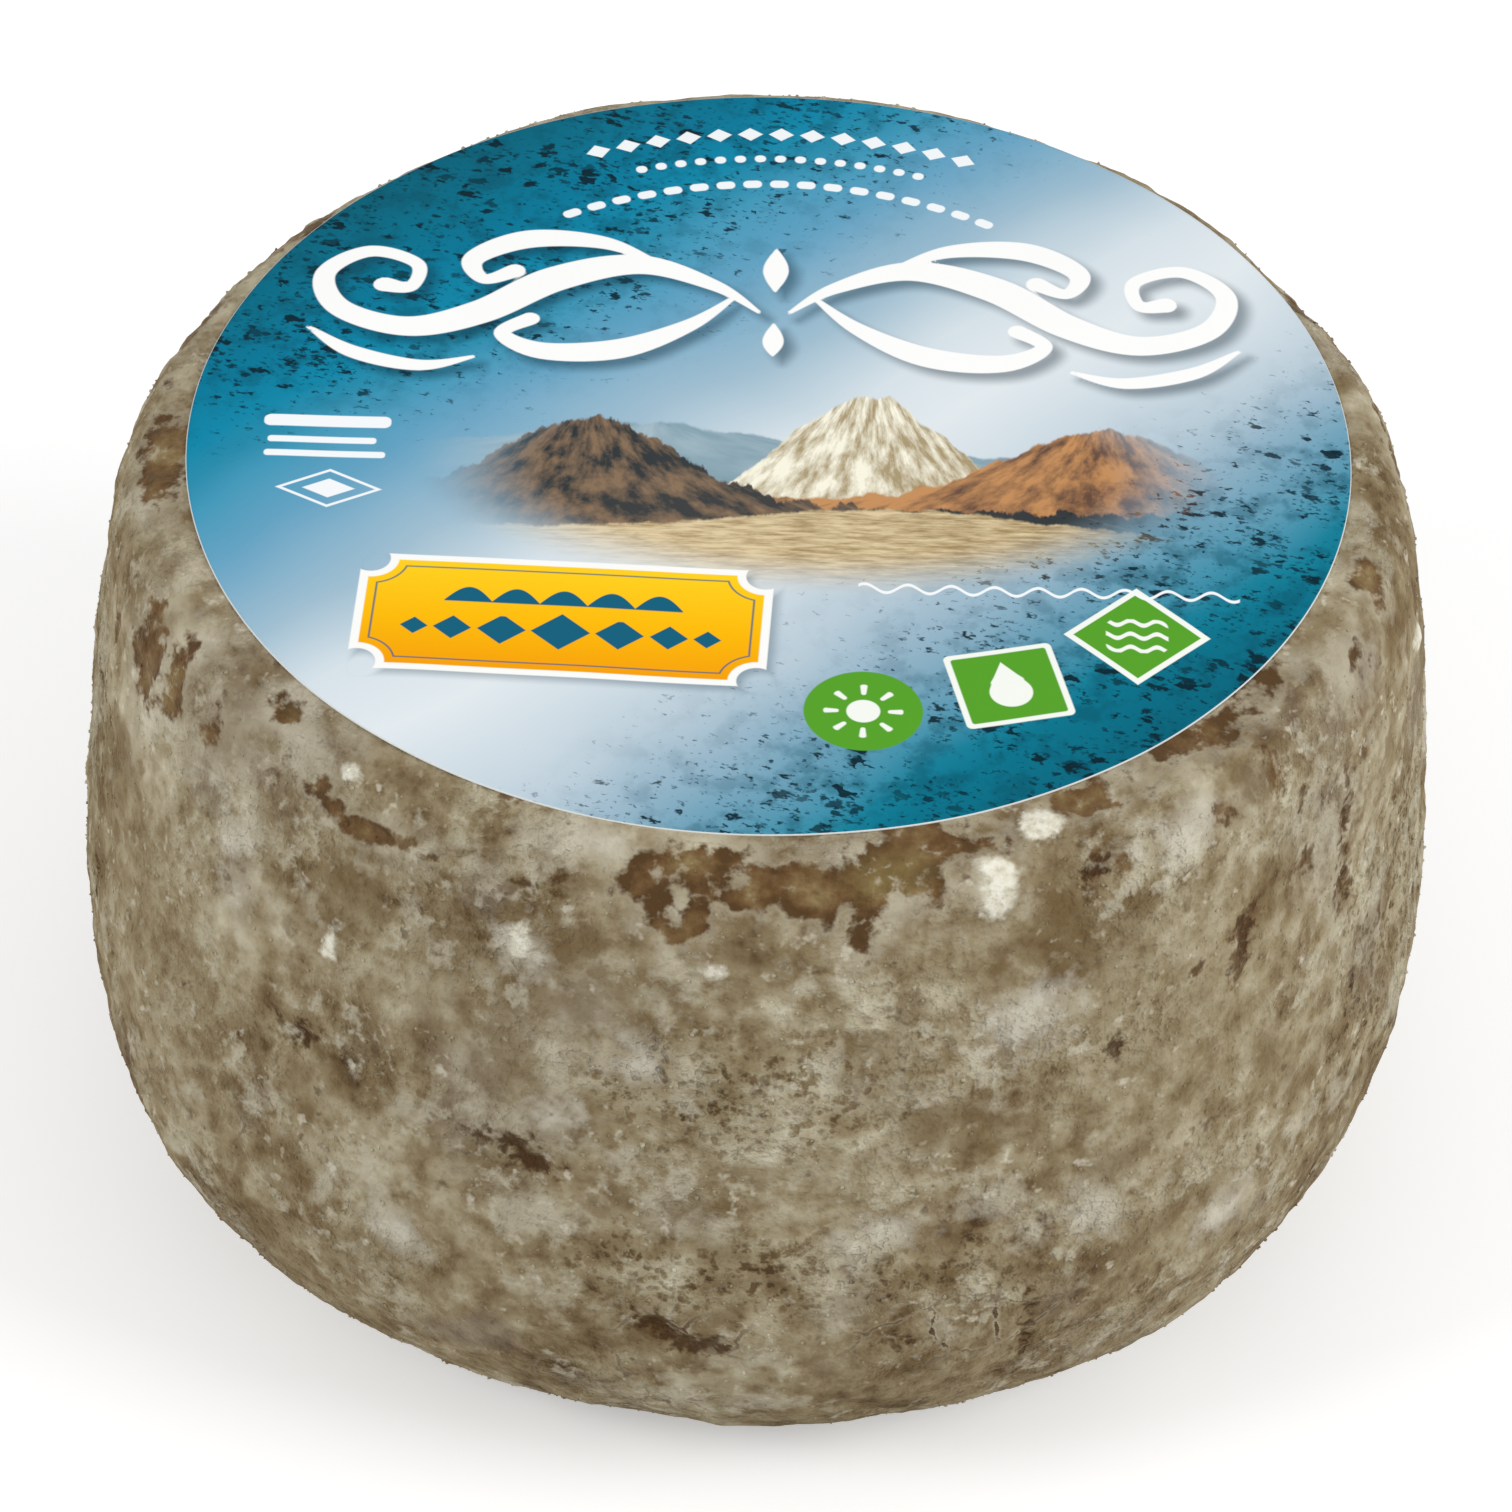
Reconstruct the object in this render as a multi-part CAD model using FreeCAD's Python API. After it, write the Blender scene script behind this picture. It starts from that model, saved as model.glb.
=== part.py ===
import FreeCAD
import Part
import math
import os

# A whole ripened blue goat cheese: one uneven, drum-shaped wheel with a
# domed edge at the top, a belly low on its side and a rounded foot, and
# the round paper label that lies on its top face.
# Millimetres, +Z up, origin on the table under the middle of the wheel.

# Wheel
wheel_height = 108.0
belly_radius = 90.4
belly_height = 38.0
foot_radius = 61.0         # flat that the wheel rests on
foot_roundness = 1.9       # 2 is an ellipse, more is squarer
side_taper = 8.0           # how far the side leans in above the belly
side_taper_power = 1.5
shoulder_depth = 5.8       # round edge between side and top face
shoulder_height = 11.5

# The top face slopes a little, as the wheel drained unevenly
top_slope_x = 0.018
top_slope_y = 0.006

# Lobes: waves round the wheel, then the swing in mm and the turn in
# degrees at the foot and at the top
lobes = [
    (2, 0.5, 162.0, 1.5, -55.0),
    (3, 1.0, -32.0, 1.3, 215.0),
    (4, 1.2, 133.0, 0.7, 42.0),
    (7, 0.35, 60.0, 0.25, 10.0),
    (11, 0.22, 200.0, 0.2, 150.0),
]

# Soft swellings of the side: height and angle of the middle, how far
# they spread, and how far they stand out or sink in
swellings = [
    (34.0, -62.0, 16.0, 0.7),
    (66.0, -110.0, 14.0, -0.5),
    (50.0, -150.0, 18.0, 0.6),
    (72.0, -20.0, 15.0, -0.5),
    (40.0, 25.0, 17.0, 0.6),
    (64.0, 80.0, 18.0, -0.6),
    (46.0, 140.0, 16.0, 0.5),
    (24.0, -95.0, 12.0, -0.5),
]

# Paper label
label_radius = 75.0
label_thickness = 0.3
label_offset_x = -0.35
label_offset_y = 1.6

# Fineness of the net of control points
columns = 60
foot_rings = 14
side_rings = 10
shoulder_rings = 8
degree = 3


def profile_radius(height):
    """Radius of the even wheel at a height above the table."""
    if height < belly_height:
        rise = 1 - height / belly_height
        bulge = (1 - rise ** foot_roundness) ** (1 / foot_roundness)
        return foot_radius + (belly_radius - foot_radius) * bulge
    share = (height - belly_height) / (wheel_height - belly_height)
    radius = belly_radius - side_taper * share ** side_taper_power
    over = height - (wheel_height - shoulder_height)
    if over > 0:
        turn = min(1.0, over / shoulder_height)
        radius -= shoulder_depth * (1 - math.sqrt(1 - turn * turn))
    return radius


def ring_heights():
    """Heights of the rings of control points, closest where the edge bends."""
    foot_top = 0.6 * belly_height
    shoulder_start = wheel_height - shoulder_height
    heights = []
    for i in range(foot_rings):
        heights.append(foot_top * (i / foot_rings) ** 2)
    for i in range(side_rings):
        heights.append(foot_top + (shoulder_start - foot_top) * i / side_rings)
    for i in range(shoulder_rings + 1):
        turn = math.pi / 2 * i / shoulder_rings
        heights.append(shoulder_start + shoulder_height * math.sin(turn))
    return heights


def unevenness(angle, height):
    """How far the real wheel stands outside the even one."""
    share = height / wheel_height
    swing = 0.0
    for waves, at_foot, turn_foot, at_top, turn_top in lobes:
        swing += (1 - share) * at_foot * math.cos(
            waves * angle - math.radians(turn_foot))
        swing += share * at_top * math.cos(
            waves * angle - math.radians(turn_top))
    for middle, turn, spread, amount in swellings:
        away = angle - math.radians(turn)
        away = math.atan2(math.sin(away), math.cos(away)) * belly_radius
        distance = math.hypot(away, height - middle)
        swing += amount * math.exp(-(distance / spread) ** 2)
    return swing


def wheel_solid():
    """The wheel: a closed skin of one smooth net, with a flat top and foot."""
    # a net's curve runs a little inside its points, so they stand out by this
    outward = 3 / (2 + math.cos(2 * math.pi / columns))
    heights = ring_heights()
    poles = []
    for i in range(columns):
        angle = 2 * math.pi * i / columns
        column = []
        for height in heights:
            radius = profile_radius(height) + unevenness(angle, height)
            x = outward * radius * math.cos(angle)
            y = outward * radius * math.sin(angle)
            lift = (top_slope_x * x + top_slope_y * y) * height / wheel_height
            column.append(FreeCAD.Vector(x, y, height + lift))
        poles.append(column)
    spans = len(heights) - degree
    skin = Part.BSplineSurface()
    skin.buildFromPolesMultsKnots(
        poles,
        [1] * (columns + 1),
        [degree + 1] + [1] * (spans - 1) + [degree + 1],
        list(range(columns + 1)),
        list(range(spans + 1)),
        True, False, degree, degree)
    side = skin.toShape()
    caps = [Part.Face(Part.Wire([edge]))
            for edge in side.Edges if edge.isClosed()]
    shell = Part.makeShell([side] + caps)
    shell.sewShape()
    solid = Part.makeSolid(shell)
    if solid.Volume < 0:
        solid.reverse()
    return solid


def label_solid():
    """The paper label: a thin round sheet flat on the sloping top face."""
    up = FreeCAD.Vector(-top_slope_x, -top_slope_y, 1).normalize()
    middle = FreeCAD.Vector(
        label_offset_x,
        label_offset_y,
        wheel_height
        + top_slope_x * label_offset_x
        + top_slope_y * label_offset_y)
    return Part.makeCylinder(label_radius, label_thickness, middle, up)


def centre_on_origin(shapes):
    """Moves all the pieces so that the origin is under the middle."""
    box = Part.makeCompound(shapes).optimalBoundingBox(False, False)
    middle = FreeCAD.Vector(
        (box.XMin + box.XMax) / 2, (box.YMin + box.YMax) / 2, box.ZMin)
    for shape in shapes:
        shape.translate(-middle)


pieces = {"cheese_wheel": wheel_solid(), "paper_label": label_solid()}
centre_on_origin(list(pieces.values()))

os.makedirs("parts", exist_ok=True)
for name, shape in pieces.items():
    shape.exportStep(os.path.join("parts", name + ".step"))
    box = shape.optimalBoundingBox(False, False)
    print(name, "valid", shape.isValid(), "solids", len(shape.Solids),
          "volume", round(shape.Volume / 1000, 1), "cm3",
          "size", [round(v, 2) for v in
                   (box.XLength, box.YLength, box.ZLength)],
          "low", round(box.ZMin, 3))
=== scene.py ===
import math
import bpy
import numpy as np
from mathutils import Matrix, Vector


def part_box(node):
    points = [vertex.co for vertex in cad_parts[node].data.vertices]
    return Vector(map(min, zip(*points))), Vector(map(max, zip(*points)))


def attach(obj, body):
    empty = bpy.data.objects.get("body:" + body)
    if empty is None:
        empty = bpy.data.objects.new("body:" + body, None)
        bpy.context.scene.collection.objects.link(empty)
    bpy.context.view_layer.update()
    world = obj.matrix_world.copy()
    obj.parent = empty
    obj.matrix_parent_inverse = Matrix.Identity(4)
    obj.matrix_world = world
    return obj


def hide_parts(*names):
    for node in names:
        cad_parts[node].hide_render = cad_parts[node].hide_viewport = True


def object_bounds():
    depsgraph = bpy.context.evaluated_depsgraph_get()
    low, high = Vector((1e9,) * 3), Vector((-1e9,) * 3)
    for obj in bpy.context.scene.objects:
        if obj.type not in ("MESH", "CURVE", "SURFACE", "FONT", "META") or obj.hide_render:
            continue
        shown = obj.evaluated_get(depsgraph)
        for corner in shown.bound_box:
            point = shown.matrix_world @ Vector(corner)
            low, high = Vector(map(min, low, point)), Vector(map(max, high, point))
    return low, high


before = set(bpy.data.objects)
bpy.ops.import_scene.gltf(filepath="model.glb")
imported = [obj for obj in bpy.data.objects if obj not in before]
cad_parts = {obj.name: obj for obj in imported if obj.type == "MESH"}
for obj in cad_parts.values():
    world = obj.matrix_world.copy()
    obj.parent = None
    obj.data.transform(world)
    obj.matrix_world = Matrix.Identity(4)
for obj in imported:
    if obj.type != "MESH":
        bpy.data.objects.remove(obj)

# A whole blue goat cheese: a drum with a grown-over mould rind, and the
# round printed paper label on its top face.

cadBox = [list(corner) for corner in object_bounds()]
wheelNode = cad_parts["cheese_wheel"]
wheelLow, wheelHigh = (Vector(corner) * 1000 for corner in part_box("cheese_wheel"))
labelLow, labelHigh = (Vector(corner) * 1000 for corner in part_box("paper_label"))
labelMiddle = (labelLow + labelHigh) / 2
toMetres = 0.001  # sizes below are in millimetres, the scene is in metres
toMillimetres = 1000.0
hairGap = 0.00005    # metres, keeps two faces from lying in one another
fullTurn = 6.28         # radians, near enough for a turn that is left to chance
print("frame loaded, box", cadBox)


def addNode(tree, kind, *inputs, **settings):
    # inputs fill the live sockets in order, or by name when given as one dictionary
    node = tree.nodes.new(kind)
    for name, value in settings.items():
        setattr(node, name, value)
    named = len(inputs) == 1 and isinstance(inputs[0], dict)
    live = [socket for socket in node.inputs if socket.enabled]
    for place, value in inputs[0].items() if named else enumerate(inputs):
        if value is None:
            continue
        socket = next(s for s in live if s.name == place) if named else live[place]
        if isinstance(value, bpy.types.Node):
            value = next(s for s in value.outputs if s.enabled)
        if isinstance(value, bpy.types.NodeSocket):
            tree.links.new(value, socket)
        else:
            socket.default_value = value
    return node


def linearColour(code):
    parts = [int(code[i:i + 2], 16) / 255 for i in (1, 3, 5)]
    return [*(p / 12.92 if p <= 0.04045 else ((p + 0.055) / 1.055) ** 2.4 for p in parts), 1.0]


def paint(tree, under, ink, mask):
    # lays a colour over another by a mask
    ink = linearColour(ink) if isinstance(ink, str) else ink
    return addNode(tree, "ShaderNodeMix", mask, under, ink, data_type="RGBA")


def join(tree, *masks, how="MAXIMUM"):
    # works several masks into one, two at a time
    whole = masks[0]
    for mask in masks[1:]:
        whole = addNode(tree, "ShaderNodeMath", whole, mask, operation=how)
    return whole


def softEdge(tree, gap, soft=0.12, strength=1.0):
    # full inside an outline, where its gap is less than nothing, and none outside
    return addNode(tree, "ShaderNodeMapRange", gap, soft, -soft, 0.0, strength,
                   interpolation_type="SMOOTHSTEP")


def fillRamp(node, stops):
    ramp = node.color_ramp
    while len(ramp.elements) > 1:
        ramp.elements.remove(ramp.elements[0])
    for i, (place, code) in enumerate(stops):
        stop = ramp.elements[0] if i == 0 else ramp.elements.new(place)
        stop.position = place
        stop.color = linearColour(code)
    return node


def startMaterial(name):
    material = bpy.data.materials.new(name)
    material.use_nodes = True
    material.node_tree.nodes.clear()
    return material, material.node_tree


def startTree(name, sizes):
    tree = bpy.data.node_groups.new(name, "GeometryNodeTree")
    tree.interface.new_socket("Geometry", in_out="INPUT", socket_type="NodeSocketGeometry")
    for label, value in sizes.items():
        kind = "Object" if isinstance(value, bpy.types.Object) else "Float"
        tree.interface.new_socket(label, in_out="INPUT", socket_type="NodeSocket" + kind)
    tree.interface.new_socket("Geometry", in_out="OUTPUT", socket_type="NodeSocketGeometry")
    return tree, addNode(tree, "NodeGroupInput").outputs


def newPiece(name, mesh):
    piece = bpy.data.objects.new(name, mesh)
    bpy.context.scene.collection.objects.link(piece)
    return piece


def growPiece(name, base, tree, sizes):
    # runs the tree once on the base mesh and keeps the result as a plain mesh
    holder = newPiece(name + "Base", base)
    modifier = holder.modifiers.new("grow", "NODES")
    modifier.node_group = tree
    for socket in tree.interface.items_tree:
        if socket.in_out == "INPUT" and socket.name in sizes:
            modifier[socket.identifier] = sizes[socket.name]
    graph = bpy.context.evaluated_depsgraph_get()
    mesh = bpy.data.meshes.new_from_object(holder.evaluated_get(graph), depsgraph=graph)
    mesh.name = name
    bpy.data.objects.remove(holder)
    print(name, "grown:", len(mesh.vertices), "points,", len(mesh.polygons), "faces")
    return newPiece(name, mesh)


# Camera, light and floor

viewpoint = {
    "distance": 1000.0,
    "elevation": 41.21,
    "roll": 2.33,
    "aimAcross": -0.5,
    "aimHeight": 55.4,
    "lens": 178.6,
}

studio = {
    "skyLevel": 0.60,
    "keyPlace": (-1100.0, -550.0, 900.0),
    "keySize": 500.0,
    "keyPower": 7.0,
    "fillPlace": (1150.0, -400.0, 800.0),
    "fillSize": 600.0,
    "fillPower": 9.6,
    "floorSize": 4000.0,
    "floorColour": "#e6e6e6",
    "floorGlow": 0.35,  # seen by the camera alone, lifts the pale floor to white
}


def makeCamera():
    camera = bpy.data.objects.new("camera", bpy.data.cameras.new("camera"))
    bpy.context.scene.collection.objects.link(camera)
    camera.data.lens = viewpoint["lens"]
    camera.data.clip_start = 0.01
    camera.data.clip_end = 20.0
    rise = math.radians(viewpoint["elevation"])
    aim = Vector((viewpoint["aimAcross"], 0, viewpoint["aimHeight"]))
    back = Vector((0, -math.cos(rise), math.sin(rise)))
    place = (aim + back * viewpoint["distance"]) * toMetres
    tilt = Matrix.Rotation(math.pi / 2 - rise, 4, "X")
    roll = Matrix.Rotation(math.radians(viewpoint["roll"]), 4, "Z")
    camera.matrix_world = Matrix.Translation(place) @ tilt @ roll
    bpy.context.scene.camera = camera


def makeLamp(name, place, size, power):
    lamp = bpy.data.objects.new(name, bpy.data.lights.new(name, "AREA"))
    bpy.context.scene.collection.objects.link(lamp)
    lamp.data.size = size * toMetres
    lamp.data.energy = power
    lamp.location = Vector(place) * toMetres
    lamp.rotation_euler = (-lamp.location).to_track_quat("-Z", "Y").to_euler()


def makeWorld():
    world = bpy.data.worlds.new("studio")
    bpy.context.scene.world = world
    world.use_nodes = True
    tree = world.node_tree
    tree.nodes.clear()
    rays = addNode(tree, "ShaderNodeLightPath").outputs
    seen = addNode(tree, "ShaderNodeMath", rays["Is Camera Ray"], rays["Is Glossy Ray"], operation="MAXIMUM")
    seen = addNode(tree, "ShaderNodeMath", seen, rays["Is Transmission Ray"], operation="MAXIMUM")
    level = addNode(tree, "ShaderNodeMix", seen, studio["skyLevel"], 1.0)
    sky = addNode(tree, "ShaderNodeBackground", linearColour("#ffffff"), level)
    addNode(tree, "ShaderNodeOutputWorld", {"Surface": sky})


def makeFloor():
    half = studio["floorSize"] / 2 * toMetres
    mesh = bpy.data.meshes.new("floor")
    height = cadBox[0][2] - hairGap
    corners = [(-half, -half, height), (half, -half, height), (half, half, height), (-half, half, height)]
    mesh.from_pydata(corners, [], [(0, 1, 2, 3)])
    floor = newPiece("floor", mesh)
    material, tree = startMaterial("pale_floor")
    rays = addNode(tree, "ShaderNodeLightPath").outputs
    matt = addNode(tree, "ShaderNodeBsdfDiffuse", linearColour(studio["floorColour"]))
    glowLevel = addNode(tree, "ShaderNodeMath", rays["Is Camera Ray"], studio["floorGlow"],
                        operation="MULTIPLY")
    glow = addNode(tree, "ShaderNodeEmission", linearColour("#ffffff"), glowLevel)
    both = addNode(tree, "ShaderNodeAddShader", matt, glow)
    addNode(tree, "ShaderNodeOutputMaterial", {"Surface": both})
    mesh.materials.append(material)


bpy.context.scene.view_settings.view_transform = "Standard"
makeCamera()
makeWorld()
makeLamp("keyLamp", studio["keyPlace"], studio["keySize"], studio["keyPower"])
makeLamp("fillLamp", studio["fillPlace"], studio["fillSize"], studio["fillPower"])
makeFloor()
print("camera, light and floor made")


# The mould rind

rindNet = {
    "columns": 640,
    "floorRows": 6,       # flat under the wheel
    "footRows": 54,
    "sideRows": 56,
    "shoulderRows": 28,
    "topRows": 6,         # under the label
    "footCore": (58.0, 38.0),      # radius and height that the foot's rows look out from
    "shoulderCore": (70.0, 92.0),
    "labelBed": -0.5,     # level of the rind under the label
}

rindSizes = {
    "Lump Size": 24.0,
    "Lump Depth": 1.6,
    "Dimple Size": 7.5,
    "Dimple Depth": 1.4,
    "Grain Size": 2.4,
    "Grain Depth": 0.75,
    "Crust Depth": -0.45,  # a bare patch lies below the mould
    "Cream Height": 0.55,  # a lump of white mould stands out
    "Slit Depth": -0.7,
    "Sink": 0.8,           # keeps the highest grain inside the wheel's own skin
}

# Marks on the rind: across is the arc from the front to the right, up is the
# height carried on over the shoulder, both in mm on the unrolled side, then
# half of the width and half of the height.
barePatches = [
    (5.0, 107.0, 17.0, 4.6),      # the long band under the label's front
    (-7.0, 111.5, 6.0, 3.0),
    (-14.0, 109.0, 3.0, 4.5),
    (-9.5, 101.5, 4.0, 4.0),
    (13.9, 101.8, 1.6, 2.2),
    (22.0, 113.0, 9.5, 4.4),
    (22.0, 105.5, 4.0, 3.0),
    (49.0, 115.5, 6.0, 2.4),
    (70.0, 116.0, 7.0, 2.6),
    (84.0, 116.5, 3.0, 2.0),
    (97.0, 106.0, 2.5, 2.5),
    (110.0, 113.0, 3.0, 4.0),
    (-56.6, 97.4, 2.4, 2.2),
    (-60.0, 99.4, 2.4, 2.6),
    (-63.4, 101.8, 2.4, 2.6),
    (-52.6, 99.4, 2.8, 1.5),
    (-72.3, 109.7, 2.6, 2.4),
    (-81.0, 99.5, 2.6, 3.0),
    (-99.5, 97.5, 4.2, 7.5),
    (-92.0, 99.0, 2.8, 5.5),
    (-130.0, 110.0, 10.0, 4.0),
    (150.0, 101.0, 12.0, 6.0),
    (178.0, 113.0, 9.0, 4.0),
    (205.0, 98.0, 8.0, 7.0),
    (240.0, 106.0, 12.0, 4.0),
    (-160.0, 103.0, 5.0, 8.0),
    (-190.0, 108.0, 14.0, 5.0),
    (-225.0, 97.0, 6.0, 5.0),
]
# small places where single flakes of mould came off
brownSpots = [
    (44.5, 104.8, 1.2, 1.7),
    (43.3, 100.9, 0.8, 0.9),
    (47.8, 102.9, 1.3, 0.7),
    (58.0, 83.0, 1.3, 1.2),
    (67.3, 86.0, 1.4, 1.8),
    (64.4, 81.5, 1.4, 3.4),
    (63.7, 103.3, 1.4, 1.7),
    (73.8, 104.4, 1.3, 3.6),
    (78.5, 97.3, 0.8, 1.2),
    (78.8, 87.6, 1.2, 1.4),
    (88.3, 78.1, 1.3, 2.4),
    (89.0, 94.6, 0.8, 2.4),
    (88.6, 87.0, 0.6, 2.4),
    (97.5, 64.1, 0.7, 2.0),
    (-25.5, 103.8, 1.5, 1.1),
    (-30.0, 101.0, 2.6, 0.5),
    (-36.4, 115.6, 1.8, 1.3),
    (-43.5, 99.9, 0.7, 0.6),
    (-46.9, 101.0, 0.8, 0.7),
    (-49.9, 99.8, 1.9, 1.1),
    (-69.5, 100.5, 0.7, 2.0),
    (122.0, 98.0, 1.2, 2.2),
    (131.0, 93.0, 1.0, 1.2),
    (166.0, 90.0, 1.2, 3.0),
    (193.0, 104.0, 1.6, 1.2),
    (226.0, 92.0, 1.0, 2.6),
    (-112.0, 92.0, 1.0, 2.6),
    (-138.0, 97.0, 1.3, 1.6),
    (-145.0, 86.0, 0.8, 2.4),
    (-176.0, 94.0, 1.4, 1.2),
    (-204.0, 90.0, 1.0, 3.0),
    (-214.0, 104.0, 1.6, 1.4),
]
# flakes of mould left inside the bare patches
islands = [
    (8.0, 114.2, 5.2, 2.8),
    (-6.3, 114.2, 1.8, 0.9),
    (-3.1, 108.0, 1.4, 1.2),
    (-9.6, 99.8, 0.5, 3.0),
    (22.5, 106.8, 1.0, 0.9),
    (152.0, 103.0, 4.0, 1.6),
    (-192.0, 109.0, 5.0, 1.5),
]
creamSpots = [
    (31.0, 105.0, 2.7, 5.0),
    (39.0, 113.0, 2.8, 2.6),
    (-30.0, 92.0, 2.0, 2.4),
    (-5.0, 93.0, 1.5, 1.0),
    (-59.0, 107.0, 1.3, 1.6),
    (-57.0, 79.0, 1.2, 2.2),
    (120.0, 92.0, 2.0, 2.6),
    (163.0, 84.0, 1.6, 1.6),
    (-150.0, 86.0, 2.0, 2.0),
    (-206.0, 100.0, 2.6, 2.2),
    (215.0, 74.0, 2.2, 2.0),
]
slits = [
    (-29.5, 60.8, 3.4, 1.5),
    (-26.5, 59.0, 2.4, 1.2),
    (-10.4, 36.2, 2.8, 1.8),
    (-4.3, 33.5, 3.6, 1.5),
    (19.5, 34.4, 1.8, 0.7),
    (35.6, 32.5, 0.5, 3.2),
    (44.0, 103.5, 1.5, 1.3),
    (46.0, 75.5, 1.2, 1.2),
    (66.0, 84.0, 1.4, 3.0),
    (87.0, 77.0, 0.8, 3.0),
    (88.0, 86.0, 0.8, 2.2),
    (-60.0, 64.0, 2.4, 1.2),
    (118.0, 40.0, 4.0, 1.6),
    (190.0, 50.0, 5.0, 1.5),
    (-110.0, 52.0, 1.8, 3.2),
    (-160.0, 34.0, 4.5, 1.8),
    (-215.0, 66.0, 4.0, 1.5),
]
# soft pale blooms
paleBlooms = [
    (34.3, 84.2, 6.6, 5.4),
    (-13.8, 77.8, 4.2, 3.6),
    (-30.0, 91.0, 3.6, 3.4),
    (-24.0, 68.0, 2.6, 2.8),
    (17.0, 53.0, 4.0, 2.4),
    (43.0, 50.0, 4.0, 3.6),
    (-43.0, 41.0, 3.6, 3.6),
    (-74.0, 84.0, 3.0, 6.0),
    (55.0, 104.0, 5.0, 2.6),
    (64.0, 40.0, 5.0, 3.6),
    (-20.0, 112.0, 5.0, 2.6),
    (130.0, 70.0, 6.0, 4.6),
    (-140.0, 60.0, 5.0, 6.0),
    (180.0, 88.0, 6.0, 4.0),
    (-190.0, 78.0, 6.0, 4.0),
    (230.0, 60.0, 5.0, 6.0),
]
# where the mould stands in crisp curls
curlyPlaces = [
    (0.0, 75.0, 19.0, 9.0),
    (4.0, 46.0, 26.0, 8.0),
    (104.0, 60.0, 20.0, 20.0),
    (-128.0, 74.0, 22.0, 13.0),
    (202.0, 56.0, 24.0, 16.0),
]
# where it is smooth and even
calmPlaces = [
    (54.0, 78.0, 17.0, 16.0),
    (-88.0, 66.0, 12.0, 18.0),
    (160.0, 62.0, 16.0, 16.0),
    (-180.0, 60.0, 18.0, 20.0),
]
# where the dried rind is split into plates
crackPlaces = [
    (27.0, 35.0, 14.0, 6.0),
    (-6.0, 35.0, 9.0, 4.0),
    (148.0, 36.0, 22.0, 8.0),
    (-152.0, 38.0, 10.0, 3.5),
    (222.0, 38.0, 16.0, 8.0),
]
# olive moss-like mould on the bare rind, and purple-grey mould on the rest
mossPlaces = [
    (17.5, 108.9, 6.5, 5.5),
    (-72.0, 110.2, 1.4, 1.4),
    (178.0, 113.0, 5.0, 3.0),
    (-190.0, 108.0, 7.0, 4.0),
    (240.0, 106.0, 6.0, 3.0),
]
lilacPlaces = [
    (-36.0, 98.4, 4.0, 5.0),
    (-82.0, 91.0, 5.0, 4.0),
    (120.0, 84.0, 9.0, 6.0),
    (-168.0, 88.0, 8.0, 7.0),
]

rindMarks = {
    "bareGap": barePatches,
    "creamGap": creamSpots,
    "slitGap": slits,
    "spotGap": brownSpots,
    "bloomGap": paleBlooms,
    "islandGap": islands,
    "curlyGap": curlyPlaces,
    "calmGap": calmPlaces,
    "crackGap": crackPlaces,
    "mossGap": mossPlaces,
    "lilacGap": lilacPlaces,
}
# the slow bays in the marks' outlines: size and depth in mm
markBays = {
    "bareGap": (6.0, 9.0),
    "creamGap": (4.0, 3.0),
    "slitGap": (3.0, 3.5),
    "spotGap": (2.5, 3.0),
    "bloomGap": (6.0, 9.0),
    "islandGap": (3.0, 5.0),
    "lilacGap": (5.0, 8.0),
    "curlyGap": (7.0, 14.0),
}


def sleeveMesh():
    # a net inside the wheel; each point holds the way it looks out
    footRadius, footHeight = rindNet["footCore"]
    topRadius, topHeight = rindNet["shoulderCore"]
    rows = []
    for i in range(1, rindNet["floorRows"]):
        rows.append((footRadius * i / rindNet["floorRows"], footHeight, -90.0))
    for i in range(rindNet["footRows"]):
        rows.append((footRadius, footHeight, -90.0 + 90.0 * i / rindNet["footRows"]))
    for i in range(rindNet["sideRows"]):
        share = i / rindNet["sideRows"]
        rows.append((footRadius, footHeight + (topHeight - footHeight) * share, 0.0))
    for i in range(rindNet["shoulderRows"] + 1):
        rows.append((topRadius, topHeight, 90.0 * i / rindNet["shoulderRows"]))
    for i in range(1, rindNet["topRows"]):
        rows.append((topRadius * (1 - i / rindNet["topRows"]), topHeight, 90.0))
    radius, height, pitch = np.array(rows).T
    pitch = np.radians(pitch)[:, None]
    columns = rindNet["columns"]
    turn = np.arange(columns) * 2 * np.pi / columns
    core = np.stack(np.broadcast_arrays(
        radius[:, None] * np.cos(turn), radius[:, None] * np.sin(turn), height[:, None]), -1)
    aim = np.stack(np.broadcast_arrays(
        np.cos(pitch) * np.cos(turn), np.cos(pitch) * np.sin(turn), np.sin(pitch)), -1)
    points = np.concatenate([core.reshape(-1, 3), [(0, 0, footHeight), (0, 0, topHeight)]]) * toMetres
    ways = np.concatenate([aim.reshape(-1, 3), [(0, 0, -1), (0, 0, 1)]])
    faces = []
    for j in range(len(rows) - 1):
        for i in range(columns):
            a = j * columns + i
            b = j * columns + (i + 1) % columns
            faces.append((a, b, b + columns, a + columns))
    last = (len(rows) - 1) * columns
    for i in range(columns):
        after = (i + 1) % columns
        faces.append((after, i, len(points) - 2))
        faces.append((last + i, last + after, len(points) - 1))
    mesh = bpy.data.meshes.new("sleeve")
    mesh.from_pydata(points.tolist(), [], faces)
    way = mesh.attributes.new("way", "FLOAT_VECTOR", "POINT")
    way.data.foreach_set("vector", ways.astype(np.float32).ravel())
    return mesh


unrolling = {
    "girth": 85.0,             # radius that turns an angle into an arc
    "shoulder": 83.0,          # nearer the middle than this, a place counts as past the edge
    "turnsOver": (40.0, 80.0),   # heights between which the foot's way in becomes the shoulder's
}


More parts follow.
